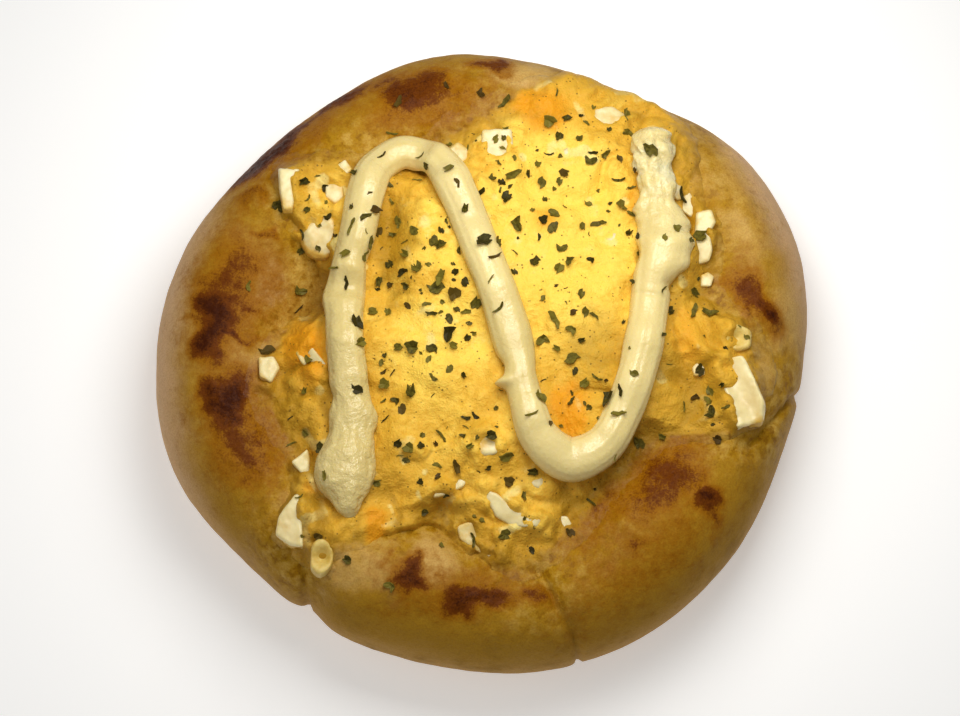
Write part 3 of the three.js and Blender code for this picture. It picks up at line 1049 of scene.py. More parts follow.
@dataclass(frozen=True)
class SaladFinish:
    """Chopped egg in mayonnaise: creamy yellow, deeper where yolk lies, dotted and moist, with a painted pool
    of light over its middle and painted shade in its creases and some patches.
    """

    cream: tuple = srgb(252, 210, 84)
    yellow: tuple = srgb(224, 172, 50)
    yolk: tuple = srgb(230, 156, 20)
    pale: tuple = srgb(246, 222, 134)
    # deeper yellow, which also serves as painted shade
    deep: tuple = srgb(168, 124, 16)
    soaked: tuple = srgb(168, 124, 22)
    fleck: tuple = srgb(112, 84, 16)

    def build(self) -> bpy.types.Material:
        """The material of the salad."""
        nodes = Nodes("egg_salad_moist")
        cloud = nodes.noise(7.5, 4, 0.55)
        crumb = nodes.noise(1.5, 4, 0.6, 0.31)
        grain = nodes.noise(0.4, 2, 0.6, 0.17)
        # tone: real drift and creamy patches, and a painted pool of light that turns the yellow to cream
        tone = nodes.painted("tone").clouded((cloud, 0.9), (crumb, 1.1))
        colour = nodes.blend(tone.step(0.1, 0.9), self.yellow, self.cream)
        yolk = nodes.painted("yolk").clouded((cloud, 0.5), (crumb, 0.3))
        colour = nodes.blend(yolk.step(0.3, 0.85), colour, self.yolk)
        bits = nodes.painted("bits").clouded((crumb, 0.9))
        colour = nodes.blend(bits.step(0.35, 0.8) * 0.85, colour, self.pale)
        # deep: painted shade in the creases and in shaded patches, some of it a truly deeper yellow
        deep = nodes.painted("deep").clouded((crumb, 0.8))
        colour = nodes.blend(deep.step(0.2, 0.95) * 0.75, colour, self.deep)
        edge = nodes.painted("edge").clouded((cloud, 0.8), (crumb, 0.5))
        colour = nodes.blend(edge.step(0.1, 0.95) * 0.85, colour, self.soaked)
        dots = (1.0 - nodes.cells(1.1).step(0.1, 0.2)) * nodes.noise(2.6, 1, 0.5, 0.4).step(0.42, 0.55)
        colour = nodes.blend(dots * 0.85, colour, self.fleck)
        crust, _, crust_relief = CrustFinish().skin(nodes)
        film = nodes.painted("film").clouded((crumb, 0.8)).step(0.15, 0.8)
        colour = nodes.blend(film, colour, crust)
        relief = (crumb * 0.27 + grain * 0.23) * (1.0 - film) + crust_relief * film
        return nodes.finish(
            colour,
            0.83 - crumb * 0.5,
            Normal=nodes.bump(relief, 1.0),
            **softness(0.12, (1.0, 0.6, 0.22), 0.0022),
            Specular_IOR_Level=0.24,
        )


@dataclass(frozen=True)
class BeadFinish:
    """Mayonnaise: pale cream, slightly clear, with painted shade in streaks along the bead, on its lower
    sides, its first leg and a bend.
    """

    cream: tuple = srgb(230, 211, 146)
    shade: tuple = srgb(208, 186, 116)
    milky: tuple = srgb(222, 220, 186)

    def build(self) -> bpy.types.Material:
        """The material of the bead."""
        nodes = Nodes("mayonnaise_soft_gloss")
        cloud = nodes.noise(6.0, 3, 0.5)
        fine = nodes.noise(0.8, 3, 0.6, 0.2)
        # painted shade: darker cream in streaks, on the lower sides, the first leg and a bend
        painted_shade_streak = nodes.painted("painted_shade_streak").clouded((cloud, 0.6))
        colour = nodes.blend(painted_shade_streak.step(0.1, 0.95) * 0.6, self.cream, self.shade)
        colour = nodes.blend(nodes.painted("milky").step(0.2, 0.9) * 0.6, colour, self.milky)
        grit = nodes.noise(1.6, 3, 0.65, 0.5) * nodes.painted("broken") * 5.0
        return nodes.finish(
            colour,
            0.09 + fine * 0.3,
            Normal=nodes.bump(fine + grit, 0.15, 0.9),
            **softness(0.35, (1.0, 0.8, 0.4), 0.0016),
            Specular_IOR_Level=0.5,
        )


@dataclass(frozen=True)
class EggWhiteFinish:
    """Boiled egg white: clean pale faces, stained yellow where the salad clings."""

    white: tuple = srgb(238, 220, 162)
    stain: tuple = srgb(222, 176, 70)
    clear: tuple = srgb(206, 178, 106)

    def build(self) -> bpy.types.Material:
        """The material of the egg-white pieces."""
        nodes = Nodes("boiled_egg_white")
        cloud = nodes.noise(3.2, 3, 0.5)
        fine = nodes.noise(0.6, 2, 0.6, 0.3)
        colour = nodes.blend(cloud.step(0.35, 0.75) * 0.6, self.white, self.clear)
        stain = nodes.painted("stain").clouded((cloud, 1.5), (fine, 0.3))
        colour = nodes.blend(stain.step(0.15, 0.85) * 0.92, colour, self.stain)
        return nodes.finish(
            colour,
            0.26 + fine * 0.2,
            Normal=nodes.bump(fine, 0.07, 0.6),
            **softness(0.35, (1.0, 0.85, 0.5), 0.0026),
            Specular_IOR_Level=0.5,
        )


@dataclass(frozen=True)
class YolkFinish:
    """Boiled yolk in dressing: deep yellow, crumbly."""

    light: tuple = srgb(222, 196, 112)
    deep: tuple = srgb(200, 164, 66)

    def build(self) -> bpy.types.Material:
        """The material of the yolk pieces."""
        nodes = Nodes("boiled_yolk")
        cloud = nodes.noise(2.4, 3, 0.6)
        fine = nodes.noise(0.5, 3, 0.6, 0.3)
        colour = nodes.blend(cloud.step(0.3, 0.7), self.light, self.deep)
        return nodes.finish(
            colour,
            0.52,
            Normal=nodes.bump(cloud * 0.4 + fine * 0.6, 0.2, 0.8),
            **softness(0.15, (1.0, 0.6, 0.2), 0.0015),
        )


@dataclass(frozen=True)
class ParsleyFinish:
    """Dried parsley: dull olive leaf with paler and browner flakes among it."""

    leaf: tuple = srgb(118, 106, 36)
    dark: tuple = srgb(52, 45, 12)
    brown: tuple = srgb(78, 56, 18)

    def build(self) -> bpy.types.Material:
        """The material of the flakes."""
        nodes = Nodes("dried_parsley")
        vein = nodes.noise(0.5, 3, 0.6)
        tone = nodes.painted("tone").clouded((vein, 1.2))
        colour = nodes.blend(tone.step(0.0, 1.0), self.dark, self.leaf)
        colour = nodes.blend(nodes.painted("brown") * 0.8, colour, self.brown)
        relief = nodes.bump(vein, 0.12, 0.9)
        return nodes.finish(colour, 0.5, Normal=relief, Specular_IOR_Level=0.14)


@dataclass(frozen=True)
class FloorFinish:
    """Plain pale studio floor, which glows a little."""

    colour: tuple = (0.94, 0.94, 0.935, 1.0)
    glow: float = 0.31

    def build(self) -> bpy.types.Material:
        """The material of the floor."""
        return Nodes("pale_floor").finish(
            self.colour,
            0.8,
            Specular_IOR_Level=0.15,
            Emission_Color=self.colour,
            Emission_Strength=self.glow,
        )


# ---- the bun


@dataclass
class Bun:
    """The bread: a round body drawn up ring by ring, then shaped to its outline."""

    plan: Plan
    columns: int = 88
    levels: int = 3
    lower_turns: tuple[float, ...] = (90, 64, 38, 16, 0)  # down from the girth, in degrees
    upper_turns: tuple[float, ...] = (14, 28, 42, 56, 72, 90)  # up to the crest
    hollow_insets: tuple[float, ...] = (13.8, 16.8, 20.2, 25, 34, 46)
    toasted: tuple[Patch, ...] = (
        Patch(-44, 9, 26, 12, 78, 0.5), Patch(-42, -13, 24, 12, 100, 0.46),
        Patch(28, -35, 34, 14, 42, 0.3), Patch(22, -27, 16, 10, 30, 0.4),
        Patch(-11, 45, 26, 11, 8, 0.42), Patch(-33, 38, 26, 9, 40, 0.4),
        Patch(-4, -42, 26, 10, 0, 0.36), Patch(-46.4, 5.6, 9.5, 6.5, 100, 1.0),
        Patch(-44, 13, 14, 5, 64, 0.62), Patch(-41, 6, 7, 4, 150, 0.5),
        Patch(-47.2, 1.8, 9, 6, 80, 1.0), Patch(-43.6, -9.8, 10, 7.5, 88, 1.0),
        Patch(-40.6, -17.4, 10, 5, 112, 0.62), Patch(-39.4, -22.4, 4.6, 4.6, 0, 0.5),
        Patch(-12.9, -39.8, 6, 5, 0, 0.86), Patch(-2.3, -44, 14, 5.5, 6, 0.88),
        Patch(9.8, -42.4, 6, 5, 0, 0.55), Patch(38.1, -26.9, 6.4, 5, 75, 0.96),
        Patch(31.2, -23.4, 17, 10, 40, 0.6), Patch(25.4, -35.2, 4.6, 3.6, 0, 0.56),
        Patch(47.6, 8.2, 13, 5, -62, 0.76), Patch(48.6, 5.8, 6.0, 3.6, -62, 0.9),
        Patch(-37.6, 36.6, 17, 5, 40, 0.98), Patch(-25.8, 45, 13, 4, 33, 0.8),
        Patch(-12.3, 46.6, 15, 7.5, 4, 0.78), Patch(1.6, 52, 8, 3.6, -4, 0.66),
        Patch(-41.6, 26.6, 6, 4, 0, 0.5), Patch(-37.2, 19.5, 3, 2.6, 0, 0.5),
        Patch(-45.5, 3, 11, 1.9, -16, 0.9), Patch(-43.5, 8, 8, 1.6, 24, 0.66),
        Patch(-36.5, 10.5, 16, 7, 80, 0.3), Patch(-38, -17, 9, 18, 0, 0.44),
        Patch(17, -33, 16, 10, -10, 0.3),
    )
    pale: tuple[Patch, ...] = (
        Patch(6.8, 49.6, 12, 7, -12, 1.0), Patch(44.4, 19.6, 9, 15, 20, 0.65),
        Patch(41, 33, 14, 16, 0, 0.55), Patch(-8, -37.6, 12, 9, 0, 1.05),
        Patch(-41.4, 18.6, 9, 8, 0, 0.6), Patch(-40.8, -2.2, 6, 7, 0, 0.75),
        Patch(-20.5, -39, 14, 8, -6, 0.8), Patch(-29, 40, 16, 6, 38, 0.45),
        Patch(47, -3, 10, 14, 30, 0.6), Patch(22, -36, 12, 9, 30, 0.4), Patch(-34, -28, 10, 12, 0, 0.4),
        Patch(52.5, 4, 16, 9, 84, 0.75),
    )
    # pairs named "run" are a place where a change begins and the distance over which it goes on
    relief_rise: float = 4.0  # the relief is full from this height above the girth on
    top_run: Pair = (3.0, 5.0)  # inset where corners start to lie true on the top
    upright_run: Pair = (20.0, 3.0)  # height where the skin's way turns straight up
    skin_run: Pair = (14.0, 8.0)  # height where the skin of the side ends
    colour_run: Pair = (11.0, 9.0)  # height where the upper side's colours begin
    rim_run: Pair = (9.0, 15.0)
    painted_light_run: Pair = (17.0, 13.0)  # height where the painted light on the sides ends
    foot_height: float = 4.0  # the skin's relief fades out below this height
    wan_foot: float = 9.0  # the side is wan below about this height
    painted_light_sides: tuple[tuple[float, float, float], ...] = (  # painted light where the sides catch the pale room's light: middle and spread in degrees, strength
        (180, 34, 1.0),
        (14, 20, 0.8),
        (40, 18, 0.8),
    )
    colour_waver: float = 2.6
    crumb_width: float = 12.0  # rougher crumb runs on past the salad's edge over this width
    dimples: Pair = (0.22, 0.62)  # height in plain crust and in that crumb
    dimple_span: float = 4.8
    wrinkles: Pair = (0.07, 0.2)
    wrinkle_span: float = 1.6
    side_wave: float = 0.18
    side_wave_span: float = 7.0
    side_grain: float = 0.035
    side_grain_span: float = 1.6
    blister: tuple[float, float, float] = (-37.2, 19.5, 0.9)  # place and radius of a small blister
    blister_height: float = 0.25
    blister_wall: float = 0.5
    char_height: float = 0.25  # relief of the toasted spots
    char_span: float = 1.3
    seam_depth: float = 0.9  # the sharp line at the bottom of each fold
    seam_width: float = 0.6
    seam_waver: float = 0.8

    def rings(self) -> list[Pair]:
        """Radius and height of each ring of the plain round bun, from the base up."""
        form = self.plan.bun
        made = []
        for turn in self.lower_turns:
            c, s = turned(turn)
            made.append((form.mean_radius - form.base_inset * (1 - c), form.girth_height * (1 - s)))
        rise = form.crest_height - form.girth_height
        for turn in self.upper_turns:
            c, s = turned(turn)
            made.append((form.mean_radius - form.crest_inset * (1 - c), form.girth_height + rise * s))
        for inset in self.hollow_insets:
            height = float(form.profile(np.array(inset), np.array(form.crest_height)))
            made.append((form.mean_radius - inset, height))
        return made

    def build(self) -> Piece:
        """Makes the bread's mesh and dresses it."""
        form = self.plan.bun
        piece = Bench.stack("bread_crust", self.columns, self.rings())
        Bench.subdivide(piece, self.levels)
        plain = Bench.points(piece) / MM
        angle, away = np.arctan2(plain[:, 1], plain[:, 0]), np.hypot(plain[:, 0], plain[:, 1])
        away = away * form.radius(angle) / form.mean_radius
        x, y, z = away * np.cos(angle), away * np.sin(angle), plain[:, 2]
        inset = np.maximum(0, form.radius(angle) - away)
        above = (z > form.girth_height) & (away > 1)
        top = form.top(x, y)
        relief = top - form.profile(inset, np.array(form.crest_height))
        drawn = z + relief * ramp(z, form.girth_height, self.relief_rise)
        z = np.where(above, mix(drawn, top, ramp(inset, *self.top_run)), z)
        Bench.move(piece, self.plan.to_frame(np.stack([x, y, z], axis=-1)))
        height = self.skin(x, y, z)
        way = mix(Bench.normals(piece), np.array([0.0, 0.0, 1.0]), ramp(z, *self.upright_run)[:, None])
        points = Bench.points(piece) + way * (height * MM)[:, None]
        points[:, 2] = np.maximum(points[:, 2], 0)
        Bench.move(piece, points)
        Bench.smooth(piece)
        Bench.dress(piece, self.colouring(x, y, z), CrustFinish().build())
        return piece

    def past_salad(self, x: Points, y: Points) -> Points:
        """Distance of points past the plain edge of the salad."""
        angle, away = self.plan.salad.polar(x, y)
        return away - self.plan.salad.radius(angle)

    def skin(self, x: Points, y: Points, z: Points) -> Points:
        """Relief of the crust: soft dimples, wrinkles, charred spots, seams and a blister.

        Args:
            x, y: Plan coordinates.
            z: Height of the crust there.

        Returns:
            Its height in millimetres at each point.
        """
        round_side = np.arctan2(y, x) * self.plan.bun.mean_radius
        up = ramp(z, *self.skin_run)
        crumb = ease(1.3 - self.past_salad(x, y) / self.crumb_width)
        flat = mix(*self.dimples, crumb) * rough(x, y, self.dimple_span, 31)
        flat = flat + mix(*self.wrinkles, crumb) * rough(x, y, self.wrinkle_span, 32)
        side = self.side_wave * rough(round_side, z, self.side_wave_span, 33)
        side = side + self.side_grain * rough(round_side, z, self.side_grain_span, 34)
        height = mix(side, flat, up) * ease(z / self.foot_height)
        bx, by, radius = self.blister
        wall = bell(np.hypot(x - bx, y - by) - radius, self.blister_wall)
        height = height + self.blister_height * wall * up
        heat = patches(self.toasted, x, y, 1.6)
        height = height + self.char_height * heat * up * (pebbles(x, y, self.char_span, 35) - 0.48)
        wx, wy = waver(x, y, self.seam_waver, 4, 36)
        for fold in self.plan.bun.folds:
            seam = bell(away_from_line(wx, wy, fold.start, fold.end), self.seam_width)
            height = height - self.seam_depth * seam
        return height

    def surface(self, x: Points, y: Points) -> Points:
        """Height of the bread's upper side with its skin."""
        bread = self.plan.bun.top(x, y)
        return bread + self.skin(x, y, bread)

    def colouring(self, x: Points, y: Points, z: Points) -> dict[str, Points]:
        """What the crust's material reads at each corner.

        Args:
            x, y: Plan coordinates.
            z: Height of the crust there.

        Returns:
            The strength of each tone, by the name of its attribute.
        """
        past = self.past_salad(x, y)
        up = ramp(z, *self.colour_run)
        pale = patches(self.pale, x, y, self.colour_waver)
        angle, _ = self.plan.salad.polar(x, y)
        # how much painted light each side gets by the way it faces
        facing = sum(share * near_angle(angle, middle, spread) for middle, spread, share in self.painted_light_sides)
        return {
            "rim": ramp(z, *self.rim_run),
            "pale": pale * up,
            "toast": patches(self.toasted, x, y, self.colour_waver) * up,
            "soak": ease(1.1 - past / 11) * up,
            "crumb": ease(1.25 - past / 13) * up * (1 - 0.6 * pale),
            # paler foot, and painted light on the left and right sides
            "pale_foot_and_painted_light": np.maximum(
                0.75 * ease(1.1 - z / self.wan_foot), facing * (1 - ramp(z, *self.painted_light_run))
            ),
        }


# ---- the salad


@dataclass
class Salad:
    """The heap of egg salad: a fine grid laid over the heap's form and worked like mash."""

    plan: Plan
    crust: Bun
    eggs: "EggPieces"
    cells: int = 330
    hem: float = 1.14  # how far the mesh runs on under the crust, as a share of the radius
    margin: float = 2.0  # how far the salad ends within the bun's outline at least
    withdrawn: float = 3.5  # how much further within it the hem is turned in elsewhere
    turned_back: float = 1.5  # the hem goes back by this many times what is over the limit
    hem_depth: float = 3.0  # how deep in the bread the turned hem lies
    hem_width: float = 2.0  # it goes down over this width
    bends: float = 1.9  # how far the edge wavers in wide bends, and in narrow ticks
    ticks: float = 0.7
    egg_margin: float = 0.5  # the salad runs round the pieces of egg this far out
    egg_waver: float = 1.3
    lip_height: float = 1.3  # thickness of the edge where it lies on the crust
    steep_lip: float = 2.2  # how many times higher it is where the crust falls away
    steep_height: float = 27.0  # the crust falls away below this height
    steep_run: float = 7.0
    lip_width: float = 1.6
    film_width: float = 2.2  # where the salad melts into the crust, a thin film runs on
    bank_width: float = 4.0  # the heap rises from the lip over this width
    swelling_height: float = 1.3
    smear_height: float = 0.6
    mash_height: float = 0.3
    chunk_height: float = 0.8  # relief of the chopped bits near the edge
    chunk_span: float = 4.4
    chunk_reach: float = 13.0  # how far in from the edge they show
    crumb_height: float = 0.26
    grain_height: float = 0.07
    tuck: float = 0.8  # the surface dips into the bread over this width past the edge
    standing: tuple[Patch, ...] = (
        Patch(-15, -32, 18, 8, 0, 1.0), Patch(-30, -31, 9, 15, 0, 0.95), Patch(1, -31, 16, 9, 0, 1.0),
        Patch(-30, 1, 9, 14, 20, 0.9), Patch(45, -9, 6, 13, 20, 0.6), Patch(26, 45, 30, 15, -38, 1.0),
        Patch(-29, 22, 13, 18, 0, 0.95), Patch(38, 20, 6, 16, 0, 0.8),
    )
    folds: tuple[Fold, ...] = (
        Fold((-10.6, 22.2), (-11.4, 7.1), -1.3, 2.6),
        Fold((-16.2, 24.9), (-16.4, 10.5), 1.2, 1.9),
        Fold((35.8, 14.5), (34.4, 7.1), -0.9, 1.5),
        Fold((34.4, 7.1), (37.2, 0.1), -0.9, 1.5),
        Fold((37.2, 0.1), (42.2, -6), -0.8, 1.5),
        Fold((-33.6, 4.5), (-25.9, 7.1), -0.9, 1.7),
        Fold((-15, -34.3), (-13, -29), -0.8, 2.4),
        Fold((-8.6, -29.5), (-2.8, -27.2), -0.8, 1.4),
        Fold((-2.8, -27.2), (2.2, -28.4), -0.7, 1.4),
        Fold((8.5, 3), (16.5, 12), 0.5, 1.6),
        Fold((12, 24), (22, 26.5), 0.45, 1.5),
        Fold((-13, -6), (-4, -11), 0.4, 1.4),
    )
    yolky: tuple[Patch, ...] = (
        Patch(10.5, 43, 15, 8, -8, 0.95), Patch(-30, -1, 9, 15, 20, 0.9), Patch(15, -11, 8, 9, 0, 1.0),
        Patch(-17.5, -31.5, 5, 9, 10, 1.0), Patch(11, 22, 9, 7, 0, 0.6), Patch(37, 22, 3, 9, 0, 0.7),
        Patch(-28, -25, 5, 7, 0, 0.6), Patch(-1, 3.5, 6, 16, 20, 0.35), Patch(35, 2, 6, 22, 10, 0.4),
        Patch(26.5, 25, 4, 12, 0, 0.6),
    )
    creamy: tuple[Patch, ...] = (
        Patch(-9, 3, 16, 14, 0, 0.8), Patch(7, 17, 13, 16, 20, 0.8), Patch(15, 33.5, 9, 6, -20, 0.9),
        Patch(22, 19.5, 7, 7, 0, 0.8), Patch(-5, 33, 4.5, 5, 0, 1.0), Patch(-14, 25.5, 3.4, 8, 30, 0.9),
        Patch(-1, -1, 5, 5, 20, 1.0), Patch(10, -24, 5, 4, 20, 0.9), Patch(3, -19, 12, 6, 0, 0.5),
        Patch(-28, 21, 10, 12, 0, 0.9), Patch(-9.5, 20, 5, 11, -15, 0.9),
        Patch(33, -6, 10, 16, 20, 0.5), Patch(-7, -14, 12, 8, 30, 0.5), Patch(-29, -29, 6, 12, 0, 0.8),
        Patch(8, -29, 16, 7, -20, 0.6),
    )
    # a painted pool of light over the middle of the heap, under the lamp
    painted_light_pool: tuple[Patch, ...] = (
        Patch(11, 20, 30, 38, -15, 0.8), Patch(-8, -1, 18, 18, 0, 0.6), Patch(12, -2, 10, 12, 0, 0.2),
        Patch(2, -14, 24, 14, 0, 0.25),
    )
    # deeper salad that also stands for painted shade, as between the bead's legs and away from the lamp
    deeper_and_painted_shade: tuple[Patch, ...] = (
        Patch(-33, -12, 12, 24, 12, 0.9), Patch(-28, -32, 11, 12, 0, 0.7),
        Patch(-8, -34, 18, 8, 8, 0.7), Patch(16, -30, 14, 9, -30, 0.7), Patch(28, -18, 14, 9, 40, 0.85),
        Patch(38, 18, 7, 26, 12, 0.8), Patch(-10, 38, 22, 6, 8, 0.7), Patch(33, 40, 14, 7, -40, 0.6),
        Patch(35, 34, 8, 11, 0, 0.8), Patch(-15, 19.5, 8.5, 18, 4, 1.1), Patch(36, -9, 13, 14, 20, 0.8),
        Patch(20.5, -1, 13, 18, 10, 0.95), Patch(-12, -22, 26, 12, 0, 0.35),
    )

    def build(self) -> Piece:
        """Makes the salad's mesh and dresses it."""
        Bench.clear()
        bpy.ops.mesh.primitive_grid_add(x_subdivisions=self.cells, y_subdivisions=self.cells, size=2)
        piece = Bench.named("egg_salad_heap")
        bpy.ops.object.mode_set(mode="EDIT")
        bpy.ops.mesh.select_all(action="SELECT")
        bpy.ops.mesh.region_to_loop()
        bpy.ops.mesh.extrude_edges_move(TRANSFORM_OT_translate={"value": (0, 0, -1)})
        bpy.ops.transform.resize(value=(0.9, 0.9, 1), center_override=(0, 0, 0))
        bpy.ops.mesh.edge_face_add()
        Bench.face_outwards()
        bpy.ops.object.mode_set(mode="OBJECT")
        flat = Bench.points(piece)
        share = np.maximum(np.abs(flat[:, 0]), np.abs(flat[:, 1])) * self.hem
        angle = np.arctan2(flat[:, 1], flat[:, 0])
        radius = self.plan.salad.radius(angle)
        limit = self.limit(angle)
        plain = np.minimum(radius, limit) * share
        limit = limit - self.withdrawn * ease((limit - radius) / self.withdrawn)
        over = np.maximum(plain - limit, 0)
        x, y = self.plan.salad.point(angle, plain - over * self.turned_back)
        under = self.plan.bun.top(x, y) - self.hem_depth
        height = mix(self.height(x, y), under, ease(over / self.hem_width))
        height = np.where(flat[:, 2] > -0.5, height, under)
        Bench.move(piece, self.plan.to_frame(np.stack([x, y, height], axis=-1)))
        Bench.smooth(piece)
        Bench.dress(piece, self.colouring(x, y), SaladFinish().build())
        return piece

    def limit(self, angle: Points) -> Points:
        """Distance from the salad's middle, found in a few steps, at which it ends at the latest."""
        away = np.full(np.shape(angle), self.plan.bun.mean_radius)
        for _ in range(8):
            x, y = self.plan.salad.point(angle, away)
            away = away + self.plan.bun.radius(np.arctan2(y, x)) - self.margin - np.hypot(x, y)
        return away

    def inside(self, x: Points, y: Points) -> Points:
        """Distance in from the wavering edge, which runs round the pieces of egg.

        Args:
            x, y: Plan coordinates.

        Returns:
            The distance at each point, negative past the edge.
        """
        angle, away = self.plan.salad.polar(x, y)
        radius = self.plan.salad.radius(angle) + 0.8 * self.film_width * self.melt(x, y)
        plain = np.minimum(radius, self.limit(angle)) - away
        wavering = self.bends * rough(x, y, 6.0, 41) + self.ticks * rough(x, y, 1.8, 42)
        round_egg = self.egg_margin + self.egg_waver * rough(x, y, 2.4, 40) - self.eggs.away(x, y)
        return np.maximum(plain + wavering, round_egg)

    def melt(self, x: Points, y: Points) -> Points:
        """How far the edge melts into the crust instead of standing on it, from 0 to 1."""
        return 1 - patches(self.standing, x, y, 2.0)

    def lumpiness(self, x: Points, y: Points) -> Points:
        """How lumpy the salad is: smooth in its middle, worked towards its edge."""
        worked = ramp(self.plan.salad.reach(x, y), 0.25, 0.5)
        return np.clip(0.35 + 0.85 * worked + 0.35 * uneven(x, y, 11, 43), 0.25, 1.3)

    def cushions(self, x: Points, y: Points) -> tuple[Points, Points]:
        """Soft swellings that meet in creases, and crests of smeared mash, each from 0 to 1."""
        wx, wy = waver(x, y, 2.4, 8, 44)
        swellings = np.abs(uneven(wx, wy, 6.0, 46))
        crests = 1 - np.abs(uneven(0.9 * wx + 0.4 * wy, wy - 0.4 * wx, 3.4, 47))
        return swellings, crests

    def work(self, x: Points, y: Points, inside: Points) -> Points:
        """Relief of the mash, whose parts are centred on about their means.

        Args:
            x, y: Plan coordinates.
            inside: Distance in from the edge there.

        Returns:
            The relief at each point.
        """
        swellings, smears = self.cushions(x, y)
        mash = self.swelling_height * (swellings - 0.35) + self.smear_height * (smears - 0.65)
        mash = mash + self.mash_height * rough(x, y, 2.4, 52)
        chunks = self.chunk_height * (pebbles(*waver(x, y, 1.2, 4, 54), self.chunk_span, 56) - 0.6)
        relief = self.lumpiness(x, y) * mash + chunks * ease(1 - inside / self.chunk_reach)
        relief = relief + self.crumb_height * rough(x, y, 1.2, 48) + self.grain_height * uneven(x, y, 0.5, 49)
        for fold in self.folds:
            relief = relief - fold.share(x, y)
        return relief

    def height(self, x: Points, y: Points) -> Points:
        """Height of the worked surface, with its lip, bank and heap.

        Args:
            x, y: Plan coordinates.

        Returns:
            Height at each point.
        """
        bread = self.crust.surface(x, y)
        inside = self.inside(x, y)
        melt = self.melt(x, y)
        fall = ease((self.steep_height - bread) / self.steep_run)
        lip = self.lip_height * (1 + (self.steep_lip - 1) * fall * (1 - melt))
        lip = lip * (1 + 0.5 * uneven(x, y, 7, 39)) * (1 - 0.7 * melt)
        bank = ramp(inside, self.film_width * melt, self.bank_width * (1 + 0.3 * melt))
        thick = mix(lip, self.plan.salad.heap(x, y, bread) - bread, bank)
        thick = thick + self.work(x, y, inside) * mix(0.35, 1.0, bank)
        brim = np.clip(inside / (self.lip_width * (1 + 1.2 * melt)), 0, 1)
        rounding = np.clip(1 - (1 - brim) ** 2, 0, 1) ** (0.5 + 0.6 * melt)
        return bread + (thick + self.eggs.collar(x, y)) * rounding - ease(-inside / self.tuck)

    def colouring(self, x: Points, y: Points) -> dict[str, Points]:
        """What the salad's material reads at each corner.

        Args:
            x, y: Plan coordinates.

        Returns:
            The strength of each tone, by the name of its attribute.
        """
        inside = self.inside(x, y)
        melt = self.melt(x, y)
        lumpy = self.lumpiness(x, y)
        # painted shade in the creases between the swellings
        painted_crease_shade = 1 - ease(self.cushions(x, y)[0] * 3.5)
        drift = uneven(x, y, 5, 50)
        bits = np.clip(uneven(1.1 * x + 0.5 * y, y - 0.4 * x, 3.1, 51) * 2.4 - 1.1, 0, 1)
        painted_light_pool = patches(self.painted_light_pool, x, y, 3.0)
        yolky = patches(self.yolky, x, y, 2.0)
        return self.crust.colouring(x, y, self.plan.bun.top(x, y)) | {
            # tone carries the painted pool of light
            "tone": 0.15 + 0.25 * drift + painted_light_pool + 0.25 * patches(self.creamy, x, y, 1.5),
            "yolk": yolky + 0.15 * np.clip(-drift, 0, 1),
            "bits": 0.7 * bits * lumpy + 0.5 * patches(self.creamy, x, y, 2.0),
            # deep: painted shade in creases and patches, less in the painted pool of light
            "deep": 0.8 * patches(self.deeper_and_painted_shade, x, y, 2.5) + 0.5 * painted_crease_shade * lumpy - 0.35 * painted_light_pool,
            "edge": ease(1 - inside / 11) * (1 - 0.75 * yolky) * (0.5 + 0.5 * melt),
            "film": ease(1.3 - inside / 4) * melt,
        }


# ---- the bead of mayonnaise


@dataclass(frozen=True)
class Nub:
    """A place where the bead bulges out to one side, or is pinched."""

    along: float
    turn: float  # side that it points to, in degrees from the right of the way along
    length: float
    reach: float

    def share(self, distance: Points, turn: Points) -> Points:
        """How far it stands out at points of the bead."""
        facing = np.clip(np.cos(turn - math.radians(self.turn)), 0, 1) ** 3
        return self.reach * bell(distance - self.along, self.length) * facing


